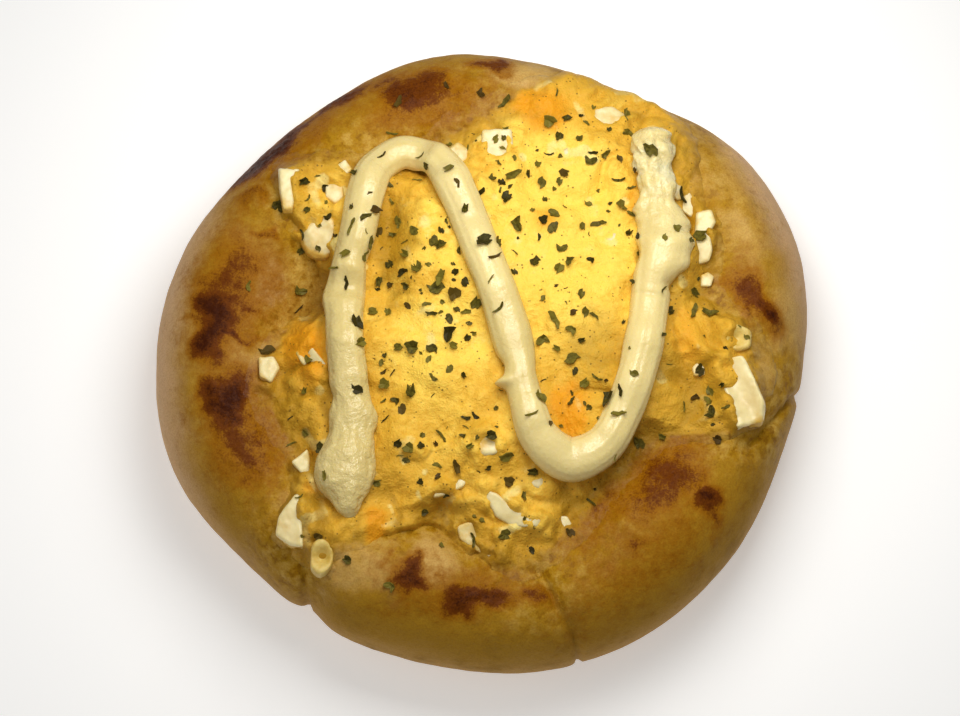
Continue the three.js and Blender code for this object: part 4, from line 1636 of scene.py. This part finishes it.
@dataclass
class Piping:
    """The bead of mayonnaise, a long ball laid along its line and pressed on the salad."""

    plan: Plan
    sides: int = 32
    rings: int = 320
    nubs: tuple[Nub, ...] = (
        Nub(118.6, 8, 0.8, 1.7), Nub(115.6, 0, 1.6, -0.7), Nub(117.4, 180, 2.0, -0.4),
        Nub(9.5, 172, 2.4, 0.8), Nub(3.4, 165, 1.3, -0.8), Nub(2.6, 20, 1.2, -0.9),
        Nub(1.4, 100, 0.8, 0.6), Nub(17.5, 5, 2.2, 0.9), Nub(21.5, 175, 1.8, -0.7),
        Nub(39.0, 170, 2.4, 0.7), Nub(46.0, 10, 2.0, -0.5), Nub(176.0, 5, 1.8, 1.2),
        Nub(171.5, 20, 1.2, -0.8), Nub(176.0, 180, 2.2, -0.9), Nub(179.6, 14, 1.3, 1.0),
        Nub(182.6, 0, 1.0, 0.9), Nub(179.0, 70, 1.6, 0.6), Nub(185.8, 174, 1.5, 1.4),
        Nub(183.4, 176, 0.9, 0.7), Nub(186.5, 8, 1.4, -0.9), Nub(190.5, 10, 1.6, 0.4),
    )
    crack: float = 169.0  # how far along it is cracked across
    crack_depth: float = 0.3
    crack_width: float = 0.35
    start_length: float = 9.0  # the torn first end narrows over this length
    start_point: float = 0.75  # 0.5 is a round end, and more is a pointed one
    start_rough: float = 58.0  # how far the broken surface of the first leg reaches
    end_rough: float = 34.0
    curd_height: float = 0.9  # the last end is lumpy, like curds pressed together
    curd_span: float = 3.6
    pressed: float = 0.6  # share of its root that it keeps when pressed on the salad
    shaded_leg: float = 62.0  # the first leg gets painted shade, over about this length
    shaded_bend: float = 114.0  # so does the last bend, round this place and for this length
    shaded_length: float = 11.0
    milky_place: float = 9.0  # how far from the last end it is whitest
    milky_length: float = 5.0

    def build(self) -> Piece:
        """Makes the bead's mesh and dresses it."""
        form = self.plan.bead
        Bench.clear()
        bpy.ops.mesh.primitive_uv_sphere_add(segments=self.sides, ring_count=self.rings, radius=1)
        piece = Bench.named("mayonnaise_bead")
        Bench.subdivide(piece, 1)
        ball = Bench.points(piece)
        ball = ball / np.linalg.norm(ball, axis=1, keepdims=True)
        turn = np.arctan2(ball[:, 1], ball[:, 0])
        share = np.arccos(np.clip(ball[:, 2], -1, 1)) / math.pi
        distance = share * form.length
        place, across, width = form.at(distance)
        ground = form.ground(place, across)
        from_start, from_end = distance / self.start_length, (form.length - distance) / form.end_length
        t = np.clip(np.minimum(from_start, from_end), 0, 1)
        taper = (t * (2 - t)) ** np.where(from_start < 1, self.start_point, 0.5)
        swelling = self.swelling(distance, turn)
        sideways = np.cos(turn) * (width / 2 + swelling) * taper
        crown = form.height_base + form.height_per_width * width - form.shoulder + swelling
        lift = np.sin(turn) * taper * np.where(np.sin(turn) > 0, crown, form.root * self.pressed)
        points = np.empty((len(ball), 3))
        points[:, :2] = place + across * sideways[:, None]
        points[:, 2] = ground + form.shoulder * taper + lift
        Bench.move(piece, self.plan.to_frame(points))
        painted = {
            "painted_shade_streak": self.streaks(distance, turn),
            "milky": self.milky(distance, turn),
            "broken": self.broken(distance),
        }
        Bench.take(piece)
        bpy.ops.object.mode_set(mode="EDIT")
        Bench.face_outwards()
        bpy.ops.object.mode_set(mode="OBJECT")
        Bench.smooth(piece)
        Bench.dress(piece, painted, BeadFinish().build())
        return piece

    def streaks(self, distance: Points, turn: Points) -> Points:
        """Share of the painted shade: in streaks, low on the sides, in the first leg and a bend."""
        painted_shade_streak = 0.5 + 0.5 * uneven(distance / 14, turn * 3.2, 1.0, 61)
        # painted shade on the lower sides, away from the light above
        low = ease((0.35 - np.sin(turn)) / 0.6)
        leg = ease(1.3 - distance / self.shaded_leg)
        bend = bell(distance - self.shaded_bend, self.shaded_length)
        return 0.7 * painted_shade_streak + 0.5 * low + 0.45 * leg + 0.6 * bend

    def broken(self, distance: Points) -> Points:
        """Share of the broken surface near both ends of the bead."""
        length = self.plan.bead.length
        start = ease(1 - distance / self.start_rough)
        end = ease(1 - (length - distance) / self.end_rough)
        return np.maximum(start, end)

    def swelling(self, distance: Points, turn: Points) -> Points:
        """Unevenness of the section: streaks along it, ripples, lumps, nubs and a crack.

        Args:
            distance: How far along the bead.
            turn: Angle round it in radians, from its right side up.

        Returns:
            How much further out the surface lies.
        """
        c, s = np.cos(turn), np.sin(turn)
        streaks = 0.1 * uneven(distance / 12, turn * 4.0, 1.0, 62)
        streaks = streaks + 0.05 * uneven(distance / 7, turn * 9.0, 1.0, 63)
        ripples = 0.22 * uneven(distance, c * 2, 5.0, 64)
        lumps = 0.34 * uneven(distance, c * 4 + s * 3, 3.2, 65)
        lumps = lumps + 0.2 * uneven(distance, c * 5 - s * 4, 1.5, 66)
        lumps = lumps + 0.08 * uneven(distance, c * 5 + s * 5, 0.7, 68)
        from_end = self.plan.bead.length - distance
        near_end = ease(1 - (from_end - 4) / 22) * ease(from_end / 5)
        curds = pebbles(distance + 1.2 * c + 0.8 * s, c * 4.4 + s * 2.6, self.curd_span, 69) - 0.6
        lumps = lumps + self.curd_height * curds * near_end
        crack = self.crack_depth * bell(distance - self.crack, self.crack_width) * np.clip(s, 0, 1)
        nubs = sum(nub.share(distance, turn) for nub in self.nubs)
        return streaks + ripples + self.broken(distance) * lumps + nubs - crack

    def milky(self, distance: Points, turn: Points) -> Points:
        """Share of the whiter, clearer mayonnaise near the bead's last end."""
        away = self.plan.bead.length - distance - self.milky_place
        return bell(away, self.milky_length) * (0.6 + 0.4 * uneven(distance, turn * 2, 2.0, 67))


# ---- pieces of egg


class EggKind(Enum):
    """What a piece of boiled egg is of."""

    WHITE = "egg_white"
    YOLK = "egg_yolk"


@dataclass(frozen=True)
class EggCut:
    """A piece of egg: its outline in plan and how it lies on the salad."""

    node: str
    outline: tuple[Pair, ...]
    thick: float
    rise: float
    tilt: Pair = (0.0, 0.0)
    trough: float = 0.0  # depth of a hollow along its middle
    bowl: float = 0.0  # depth of a round hollow in its middle
    dulling: float = 0.3
    kind: EggKind = EggKind.WHITE
    stained: float = 0.0  # how much more than others it is stained by the salad

    @property
    def middle(self) -> Pair:
        """Mean of the outline's corners."""
        corners = np.asarray(self.outline)
        return float(corners[:, 0].mean()), float(corners[:, 1].mean())


@dataclass
class EggPieces:
    """The larger pieces of boiled egg that show on the salad."""

    plan: Plan
    cuts: tuple[EggCut, ...] = (
        EggCut("egg_white_right_chunk", (
            (38.9, -2.5), (41, -2.7), (44.5, -2.5), (46.5, -6.4), (48.1, -10.7),
            (47.7, -13.6), (43.2, -15), (41.9, -10), (39.6, -5),
        ), 5.0, 1.7, (2, 9), trough=1.0, dulling=0.4, stained=-0.7),
        EggCut("egg_white_low_wedge", (
            (-31.4, -26.2), (-30.5, -26.6), (-29.9, -35.3), (-32.1, -35),
            (-34.7, -33.1), (-34.2, -30.1), (-33.1, -28.4),
        ), 4.0, 1.3, (0, 9)),
        EggCut("egg_white_right_bar", (
            (37.3, 23.8), (40, 24.2), (40.7, 21.7), (39.6, 20),
            (40, 16.6), (39.4, 14.8), (37.1, 14.2), (36.8, 18.3),
        ), 4.0, 1.1, (0, 10)),
        EggCut("egg_white_long_slice", (
            (-0.3, -25.2), (2.5, -25.9), (4.9, -28.2), (10.6, -30.3),
            (9.7, -31.6), (5.3, -31.6), (2.4, -30),
        ), 3.4, 1.3, (8, 6)),
        EggCut("egg_white_low_slice", (
            (-4.1, -31.4), (-2, -30.6), (1.8, -31.5), (4.1, -33.6),
            (3.6, -36.2), (1.1, -36.4), (-1.4, -35), (-3.6, -33.4),
        ), 3.4, 1.5, (9, 0), trough=0.4),
        EggCut("egg_white_cream_lump", (
            (-30.7, 23.1), (-27.2, 24.9), (-24.6, 21.8), (-24.9, 17.7),
            (-27.1, 15.4), (-30.6, 16.8), (-32, 20),
        ), 4.6, 1.1, (8, 9), trough=0.3, dulling=1.6, stained=0.22),
        EggCut("egg_white_cube", (
            (0.1, 38.4), (5.2, 38.6), (5.5, 35.9), (5.1, 33.3), (-0.3, 32.9),
        ), 4.4, 0.9, (6, -4)),
        EggCut("egg_white_left_slice", (
            (-30.9, 0.3), (-29.7, 0.5), (-26.6, -3.5), (-26.7, -6.2),
            (-28.4, -5.4), (-30.9, -3.2), (-32, -1.3),
        ), 3.6, 0.8, (0, 12), trough=0.5),
        EggCut("egg_white_left_bar", (
            (-35.3, 31), (-31.5, 31.1), (-31.6, 29), (-32.9, 28.6),
            (-32.4, 25), (-32.8, 23.5), (-34.4, 23.5), (-35.1, 27.5),
        ), 3.6, 1.1, (4, -8)),
        EggCut("egg_white_left_square", (
            (-38.5, -1.7), (-35.9, -1.5), (-34.8, -3.6), (-36.2, -6.3), (-38.2, -5.4),
        ), 3.2, 0.8, (0, -8)),
        EggCut("egg_white_flap", (
            (-29.6, -17.9), (-29.2, -20), (-29.3, -23.2), (-30.6, -22.4), (-32.4, -20.4),
        ), 3.4, 0.9, (0, -12)),
        EggCut("egg_white_middle_dice", (
            (-2.6, -17.5), (0.9, -15.5), (3.1, -17.5), (2.8, -19.6), (-0.3, -20.1),
        ), 3.8, 1.4, (8, 6), trough=0.4, dulling=0.7),
        EggCut("egg_yolk_right_curl", (
            (41.2, 2.4), (43.6, 3.4), (46.2, 2), (46, -0.9), (43.8, -1.7), (41.2, -0.4),
        ), 4.0, 1.1, (6, 0), bowl=1.2, dulling=0.7, kind=EggKind.YOLK),
        EggCut("egg_yolk_left_curl", (
            (-28.7, -34.2), (-26.6, -33.2), (-24.8, -35.2), (-25.1, -38.6), (-27, -40.4), (-28.9, -38.8),
        ), 3.8, 0.9, (0, 5), bowl=2.0, dulling=0.9, kind=EggKind.YOLK),
    )  # fmt: skip
    voxel: float = 0.25
    collar_width: float = 1.6
    collar_height: float = 0.45  # how much higher than the piece the salad climbs round it
    nearby: float = 6.0  # how far from a piece its distance still matters
    first_bit: int = 40  # number of the first small bit, which picks the wear of its faces
    wear: float = 0.4
    wobble: float = 0.09  # unevenness of the cut sides, as a share of their distance
    stain_width: float = 0.8  # the salad stains the upper edges over this width

    def __post_init__(self) -> None:
        """Cuts the plans of the small bits too."""
        small = SmallDice()
        self.bits = tuple(
            EggCut("", tuple(die.outline(number)), small.thick, die.rise, dulling=0.25)
            for number, die in enumerate(small.dice)
        )

    def around(self, cut: EggCut, x: Points, y: Points) -> Points:
        """Which points lie near a piece."""
        corners = np.asarray(cut.outline)
        low, high = corners.min(axis=0) - self.nearby, corners.max(axis=0) + self.nearby
        return (x > low[0]) & (x < high[0]) & (y > low[1]) & (y < high[1])

    def away(self, x: Points, y: Points) -> Points:
        """Distance from the nearest of the larger pieces, where one is near."""
        total = np.full(np.shape(x), self.nearby)
        for cut in self.cuts:
            near = self.around(cut, x, y)
            total[near] = np.minimum(total[near], away_from_outline(x[near], y[near], cut.outline))
        return total

    def collar(self, x: Points, y: Points) -> Points:
        """How far the salad climbs round the pieces that are pressed into it."""
        total = np.zeros(np.shape(x))
        for cut in self.cuts + self.bits:
            near = self.around(cut, x, y)
            px, py = x[near], y[near]
            share = bell(away_from_edges(px, py, cut.outline), self.collar_width)
            waves = np.clip(0.7 + 1.1 * rough(px, py, 2.8, 51), 0.0, 1.1)
            climb = (cut.rise + self.collar_height) * waves * share
            total[near] = np.maximum(total[near], climb)
        return total

    def build(self) -> list[Piece]:
        """Makes every piece and dresses it."""
        finishes = {EggKind.WHITE: EggWhiteFinish().build(), EggKind.YOLK: YolkFinish().build()}
        made = []
        for number, cut in enumerate(self.cuts):
            piece = self.shape(cut, f"{cut.node}_piece", number)
            piece.data.materials.append(finishes[cut.kind])
            made.append(piece)
        return made

    def build_bits(self) -> Piece:
        """Makes the small bits, joins them and dresses them."""
        made = [
            self.shape(bit, f"bit_{number}", self.first_bit + number) for number, bit in enumerate(self.bits)
        ]
        piece = Bench.join(made, "egg_white_small_dice")
        piece.data.materials.append(EggWhiteFinish().build())
        return piece

    def shape(self, cut: EggCut, name: str, number: int) -> Piece:
        """Cuts one piece, softens it and lays it on the salad.

        Args:
            cut: The piece's sizes.
            name: Name of the object.
            number: Picks the wear of its faces.

        Returns:
            The object, still without its material.
        """
        mx, my = cut.middle
        outline = [(x - mx, y - my) for x, y in cut.outline]
        piece = Bench.slab(name, outline, cut.thick, cut.dulling)
        reach = float(np.ptp(np.asarray(outline), axis=0).max())
        Bench.remesh(piece, min(self.voxel, reach / 22))
        Bench.modify(piece, "SMOOTH", factor=0.5, iterations=2)
        p = Bench.points(piece) / MM
        upper = ease(p[:, 2] / (cut.thick / 2))
        spread = np.linalg.svd(np.asarray(outline), full_matrices=False)[2]
        across = p[:, :2] @ spread[1]
        dip = cut.trough * bell(across, 0.17 * reach)
        dip = dip + cut.bowl * bell(np.hypot(p[:, 0], p[:, 1]), 0.23 * reach)
        seed = 71 + 3 * number
        worn = self.wear * rough(p[:, 0] + 0.6 * p[:, 2], p[:, 1] - 0.5 * p[:, 2], 2.8, seed)
        p[:, 2] += upper * (worn - dip)
        p[:, :2] *= (1 + self.wobble * rough(p[:, 2] * 2 + number, p[:, 0], 2.2, seed + 1))[:, None]
        tilt_x, tilt_y = (math.tan(math.radians(angle)) for angle in cut.tilt)
        p[:, 2] += p[:, 1] * tilt_x + p[:, 0] * tilt_y
        ground = max(
            float(self.plan.salad.top(np.array(mx), np.array(my))),
            float(self.plan.bun.top(np.array(mx), np.array(my))) + self.plan.salad.cover,
        )
        edge = bell(away_from_edges(p[:, 0], p[:, 1], outline), self.stain_width)
        low = ease((cut.thick * 0.34 - p[:, 2]) / 1.2)
        drift = uneven(p[:, 0] + mx, p[:, 1] + my, 3.2, 53)
        stain = 0.8 * low + 0.9 * dip + 0.25 * edge + cut.stained + 0.35 * drift
        p += (mx, my, ground + cut.rise - cut.thick / 2)
        bread = self.plan.bun.top(p[:, 0], p[:, 1])
        p[:, 2] = np.maximum(p[:, 2], bread - 0.2)
        Bench.move(piece, self.plan.to_frame(p))
        Bench.paint(piece, "stain", stain)
        Bench.smooth(piece)
        return piece


@dataclass(frozen=True)
class Die:
    """A small cut piece of egg white: place, size, turn and how far it stands out."""

    x: float
    y: float
    length: float
    width: float
    turn: float = 0.0
    rise: float = 0.8

    def outline(self, number: int) -> list[Pair]:
        """Corners of an uneven five- or six-sided plan, round the place."""
        count = 5 + number % 2
        key = np.arange(count)
        angle = (key + 0.5 * scatter(key, key * 0 + number, 91)) / count * TURN
        away = 0.5 + 0.12 * (scatter(key, key * 0 + number, 92) - 0.5)
        px, py = away * np.cos(angle) * self.length, away * np.sin(angle) * self.width
        c, s = turned(self.turn)
        return [(self.x + c * u - s * v, self.y + s * u + c * v) for u, v in zip(px, py)]


@dataclass
class SmallDice:
    """Where the smaller bits of egg white peep out of the salad."""

    dice: tuple[Die, ...] = (
        Die(-14.7, 29.1, 3.2, 3.6, 20, 0.0), Die(-11.6, 25.2, 4.2, 3.6, 50, 0.1),
        Die(16, 34, 4.2, 4.6, 10, -0.1), Die(22.5, 41.9, 6.2, 4.4, -10, 0.9),
        Die(10.2, -23.6, 4.6, 3.4, 15, 0.0), Die(36.3, 25.5, 2.8, 4.6, 5, 0.2),
        Die(-1, -0.4, 5.2, 4.6, 25, -0.1), Die(-4.4, 34.2, 4.6, 5.2, -50, 0.2),
        Die(22.3, 19, 5.6, 6.0, 0, -0.2), Die(-25.6, 27.6, 3.6, 4.4, 20, 0.2),
        Die(-24.2, 31.6, 3.0, 3.6, -15, 0.1), Die(-33.4, 26.8, 3.4, 4.6, 10, 0.2),
        Die(-29.4, 21.6, 4.2, 3.4, 40, 0.4), Die(-27.4, -11.8, 2.6, 4.2, 0, 0.0),
        Die(33.4, 23.4, 2.8, 2.4, 25, 0.6), Die(-5, -24.8, 7.2, 1.9, 24, 0.3),
        Die(13.6, -30.4, 4.0, 2.6, -20, 0.0), Die(37.6, -4.2, 3.8, 2.8, 30, 0.2),
        Die(39, 11.8, 2.6, 3.2, 0, 0.1), Die(33.9, 27.6, 2.8, 3.8, 10, 0.2),
        Die(4.6, -15.4, 3.0, 2.2, 30, -0.1),
    )
    thick: float = 2.6


# ---- parsley


@dataclass
class Parsley:
    """Dried parsley: a few kinds of flake, copied over the surfaces that were sprinkled."""

    plan: Plan
    slimness: tuple[float, ...] = (  # width of each kind, as a share of its length
        0.62, 0.5, 0.72, 0.42, 0.56, 0.14, 0.6, 0.36, 0.22, 0.66, 0.48, 0.58,
    )  # fmt: skip
    corners: int = 11
    thickness: float = 0.065
    sprinkled: int = 250
    tries: int = 6000
    seed: int = 7
    low: Pair = (-46.0, -44.0)  # corners of the plan that is sprinkled
    high: Pair = (50.0, 52.0)
    bare_chance: float = 0.16  # of a try between the clusters
    crust_chance: float = 0.02
    bead_chance: float = 0.3  # times the chance beside it
    bead_half: float = 3.2
    bare_rim: float = 8.0  # nothing falls this near to the bun's outline
    crowding: float = 0.45  # least distance of two flakes, as a share of their sizes
    browned: float = 0.1  # share of the flakes
    clusters: tuple[Patch, ...] = (
        Patch(-9, 13, 14, 18, 20, 1.0), Patch(17, 28, 20, 26, -10, 0.85), Patch(13, 8, 10, 24, 0, 0.8),
        Patch(-2, -18, 18, 10, 10, 0.95), Patch(-20, 18, 7, 16, 8, 0.9), Patch(-12, -8, 16, 16, 0, 0.5),
        Patch(16, -8, 10, 10, 0, 0.7), Patch(-31, 22, 8, 14, 0, 0.45), Patch(40, -11, 6, 10, 0, 0.5),
        Patch(2, -30, 26, 10, -10, 0.45), Patch(5, 40, 26, 8, 0, 0.35), Patch(-28, -35, 10, 12, 0, 0.3),
    )
    placed: tuple[tuple[float, float, float], ...] = (
        (12.6, 3.5, 3.4), (-11.9, -1.1, 2.9), (-12, -8.9, 3.0), (-16.4, -7.2, 2.4), (18.6, -26.8, 3.0),
        (21.5, -10.2, 3.0), (9.7, -10.7, 2.6), (8.4, -13.8, 2.9), (29.3, 33.6, 2.9), (25.7, 38.9, 2.7),
        (0.4, 16.4, 3.2), (2.3, 13.6, 3.2), (-20.2, 15, 2.0), (-31, 28.8, 2.4), (-35.4, 25.2, 2.8),
        (-31, 20, 2.0), (-31.6, 17.9, 1.7), (-32, 10.9, 2.2), (-32, 8.1, 2.4), (-37, -0.7, 3.0),
        (-32.7, -16.7, 2.2), (-27.1, -18.1, 2.4), (-21.3, 2.9, 2.8), (-20.6, -0.6, 2.4), (-21.2, -8.8, 2.4),
        (-22.5, -37.2, 2.0), (-15.1, -41.5, 2.0), (39, -8.1, 2.0), (39.2, -12.2, 2.2), (41.6, -11.4, 1.8),
        (40.2, -16.4, 2.0), (34.7, -10.5, 1.7), (36.8, 9.8, 2.2), (-7.1, 10.9, 2.9), (-7.8, 9, 3.2),
        (-4.6, 8.1, 2.9), (-18.4, 23.1, 2.6), (-22.4, 19.8, 3.0), (-17.9, 20.2, 2.4), (-19.1, 17.3, 2.4),
        (-23.1, 10.4, 2.4), (-18, 11.4, 2.2), (-13.5, 12.3, 2.6), (-8.4, 17.5, 2.6), (-7.2, 16.8, 2.6),
        (-2.8, 10, 2.2), (-14.6, 44, 2.2), (-0.3, 45.7, 1.8), (-15.8, 38.5, 2.0), (-6.2, 47.3, 1.5),
        (-21.8, 29.9, 2.0), (-17.3, 33.4, 1.8), (-10.5, 33.6, 2.0), (-9.6, 31.4, 1.8), (-5.4, 29.6, 2.4),
        (-4.1, 27.2, 1.8), (-2.8, 22.6, 2.0), (23.4, -9.2, 2.2), (25.6, -6.6, 1.8), (33.4, 19.2, 1.8),
        (31.2, 17.4, 1.4), (30.9, 8.6, 2.0), (30.6, 0.5, 1.4), (-29.4, -3.2, 2.6), (3.8, 36.9, 1.3),
    )  # fmt: skip

    def flake(self, number: int) -> Piece:
        """One kind of flake, about 1 mm across the middle, curled and with a torn outline."""
        key = np.arange(self.corners)
        bent, curled, folded = (float(scatter(np.array(number), np.array(k), 83)) for k in (7, 3, 5))
        torn = 0.62 * (0.6 + 0.42 * scatter(key, key * 0 + number, 81))
        torn = torn * np.where((key + number) % 5 == 0, 0.7, 1.0)
        angle = (key + 0.8 * scatter(key, key * 0 + number, 82)) / self.corners * TURN
        x, y = torn * np.cos(angle), torn * np.sin(angle) * self.slimness[number]
        y = y + 1.1 * (bent - 0.5) * x**2
        curl = 0.1 + 0.4 * curled
        fold = 0.9 * folded
        Bench.clear()
        bpy.ops.mesh.primitive_circle_add(vertices=self.corners, radius=MM, fill_type="NGON")
        piece = Bench.named(f"flake_kind_{number}")
        bpy.ops.object.mode_set(mode="EDIT")
        bpy.ops.mesh.select_all(action="SELECT")
        bpy.ops.mesh.poke()
        bpy.ops.object.mode_set(mode="OBJECT")
        points = np.zeros((self.corners + 1, 3))
        points[: self.corners, 0], points[: self.corners, 1] = x, y
        points[: self.corners, 2] = curl * (x + 0.4 * y) ** 2 * 2 + fold * np.abs(y - 0.2 * x)
        points[: self.corners, 2] += 0.16 * (scatter(key, key * 0 + number, 84) - 0.5)
        Bench.move(piece, points * MM)
        Bench.modify(piece, "SOLIDIFY", thickness=self.thickness * MM, offset=0.0)
        return piece

    def places(self) -> list[tuple[float, float, float]]:
        """Where the flakes lie and how large they are: the listed ones, then the sprinkled ones."""
        rng = np.random.default_rng(self.seed)
        found = list(self.placed)
        x, y = (rng.uniform(low, high, self.tries) for low, high in zip(self.low, self.high))
        size = np.clip(rng.gamma(6.0, 0.29, self.tries), 0.7, 2.9)
        chance = self.bare_chance + patches(self.clusters, x, y)
        chance = np.where(self.plan.salad.reach(x, y) > 0.97, self.crust_chance, chance)
        chance = np.where(self.plan.bead.away(x, y) < self.bead_half, self.bead_chance * chance, chance)
        inset = self.plan.bun.radius(np.arctan2(y, x)) - np.hypot(x, y)
        kept = rng.random(self.tries) < np.where(inset < self.bare_rim, 0.0, chance)
        for place in zip(x[kept], y[kept], size[kept]):
            if len(found) == len(self.placed) + self.sprinkled:
                break
            if all(
                math.hypot(place[0] - px, place[1] - py) > self.crowding * (place[2] + other)
                for px, py, other in found
            ):
                found.append(place)
        return found

    def build(self, *grounds: Piece) -> Piece:
        """Sprinkles the flakes over the given pieces and joins them."""
        rng = np.random.default_rng(self.seed + 1)
        kinds = [self.flake(number) for number in range(len(self.slimness))]
        tree = surface_of(*grounds)
        laid, tones, browns = [], [], []
        for number, (x, y, size) in enumerate(self.places()):
            start = Vector(self.plan.to_frame(np.array([x, y, 60.0])))
            hit, normal, _, _ = tree.ray_cast(start, Vector((0, 0, -1)))
            turn, lean = rng.uniform(0, TURN), rng.normal(0, 0.16, 2)
            kind = kinds[int(rng.integers(0, len(kinds)))]
            tone, is_brown = rng.uniform(0, 1), rng.random() < self.browned
            if hit is None:
                continue
            flake = Bench.copy(kind, f"flake_{number}")
            up = (normal + Vector((lean[0], lean[1], 0.15))).normalized()
            side = Vector((math.cos(turn), math.sin(turn), 0))
            side = (side - up * side.dot(up)).normalized()
            frame = np.array([side, up.cross(side), up]).T
            points = Bench.points(flake) * size
            lift = 0.02 * MM - points[:, 2].min() * 0.3
            Bench.move(flake, points @ frame.T + np.array(hit + up * lift))
            laid.append(flake)
            tones.append(np.full(len(points), tone))
            browns.append(np.full(len(points), float(is_brown)))
        piece = Bench.join(laid, "parsley_flakes")
        Bench.drop(*kinds)
        painted = {"tone": np.concatenate(tones), "brown": np.concatenate(browns)}
        Bench.dress(piece, painted, ParsleyFinish().build())
        return piece


# ---- studio


@dataclass
class Studio:
    """Pale floor, soft light from above and behind, and the camera at the photo's angle."""

    plan: Plan
    distance: float = 420.0
    tilt: float = 13.0
    width_in_view: float = 169.85  # millimetres across the picture at the aimed height
    sensor: float = 36.0
    aim: tuple[float, float, float] = (-0.27, 0.62, 14.0)
    lit_place: tuple[float, float, float] = (4.0, 6.0, 25.0)
    floor_size: float = 6.0  # metres
    room_colour: tuple[float, ...] = (1.0, 0.985, 0.96, 1.0)
    room_light: float = 0.2

    def build(self) -> None:
        """Makes the floor, the lights, the world and the camera."""
        self.floor()
        self.light("key_softbox", (16, 42, 142), 90, 0.17, (1.0, 0.985, 0.95))
        self.light("fill_softbox", (-200, -100, 420), 420, 0.42, (1.0, 0.98, 0.96))
        world = bpy.data.worlds.new("pale_room")
        world.use_nodes = True
        background = world.node_tree.nodes["Background"]
        background.inputs["Color"].default_value = self.room_colour
        background.inputs["Strength"].default_value = self.room_light
        bpy.context.scene.world = world
        bpy.context.scene.view_settings.view_transform = "Standard"
        self.camera()

    def floor(self) -> None:
        """A wide plain floor under the bun."""
        Bench.clear()
        bpy.ops.mesh.primitive_plane_add(size=self.floor_size)
        floor = Bench.named("studio_floor")
        floor.data.materials.append(FloorFinish().build())

    def light(
        self, name: str, place: Sequence[float], size: float, power: float, colour: Sequence[float]
    ) -> None:
        """A square soft light that is aimed at the bun.

        Args:
            name: Name of the light.
            place: Its place in plan coordinates.
            size: Length of its sides in millimetres.
            power: Power in watts.
            colour: Colour of the light.
        """
        lamp = bpy.data.lights.new(name, "AREA")
        lamp.size = size * MM
        lamp.energy = power
        lamp.color = colour
        stand = bpy.data.objects.new(name, lamp)
        stand.location = Vector(self.plan.to_frame(np.array(place, float)))
        target = Vector(self.plan.to_frame(np.array(self.lit_place)))
        stand.rotation_euler = (target - stand.location).to_track_quat("-Z", "Y").to_euler()
        stand.visible_camera = False
        bpy.context.scene.collection.objects.link(stand)

    def camera(self) -> None:
        """The camera, a little to the near side of straight above."""
        data = bpy.data.cameras.new("photo_view")
        data.sensor_width = self.sensor
        data.lens = self.sensor * self.distance / self.width_in_view
        data.clip_start = 0.01
        camera = bpy.data.objects.new("photo_view", data)
        c, s = turned(self.tilt)
        back = Vector((0, -s, c))
        aim = Vector(self.plan.to_frame(np.array(self.aim)))
        camera.location = aim + back * self.distance * MM
        camera.rotation_euler = (-back).to_track_quat("-Z", "Y").to_euler()
        bpy.context.scene.collection.objects.link(camera)
        bpy.context.scene.camera = camera


# ---- assembly


def keep(piece: Piece, slot: str, *nodes: str) -> None:
    """Hands a finished piece to the frame.

    Args:
        piece: The piece, with its place in its mesh.
        slot: The record's material slot, which is not used.
        nodes: The solids that it stands for.
    """
    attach(piece, "root")
    if nodes:
        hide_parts(*nodes)
    LOG.info("%s: %d corners", piece.name, len(piece.data.vertices))


def main() -> None:
    """Builds the pieces in order and notes how many corners each look has."""
    logging.basicConfig(level=logging.INFO, format="%(name)s %(message)s")
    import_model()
    plan = Plan()
    crust = Bun(plan)
    bread = crust.build()
    keep(bread, "bread", "bread_bun")
    eggs = EggPieces(plan)
    salad = Salad(plan, crust, eggs).build()
    keep(salad, "egg_salad", "egg_salad")
    bead = Piping(plan).build()
    keep(bead, "mayonnaise", "mayonnaise")
    pieces = eggs.build()
    for cut, piece in zip(eggs.cuts, pieces):
        keep(piece, cut.kind.value, cut.node)
    dice = eggs.build_bits()
    keep(dice, "egg_white")
    parsley = Parsley(plan).build(bread, salad, bead, dice, *pieces)
    keep(parsley, "parsley")
    Studio(plan).build()


if __name__ == "__main__":
    main()
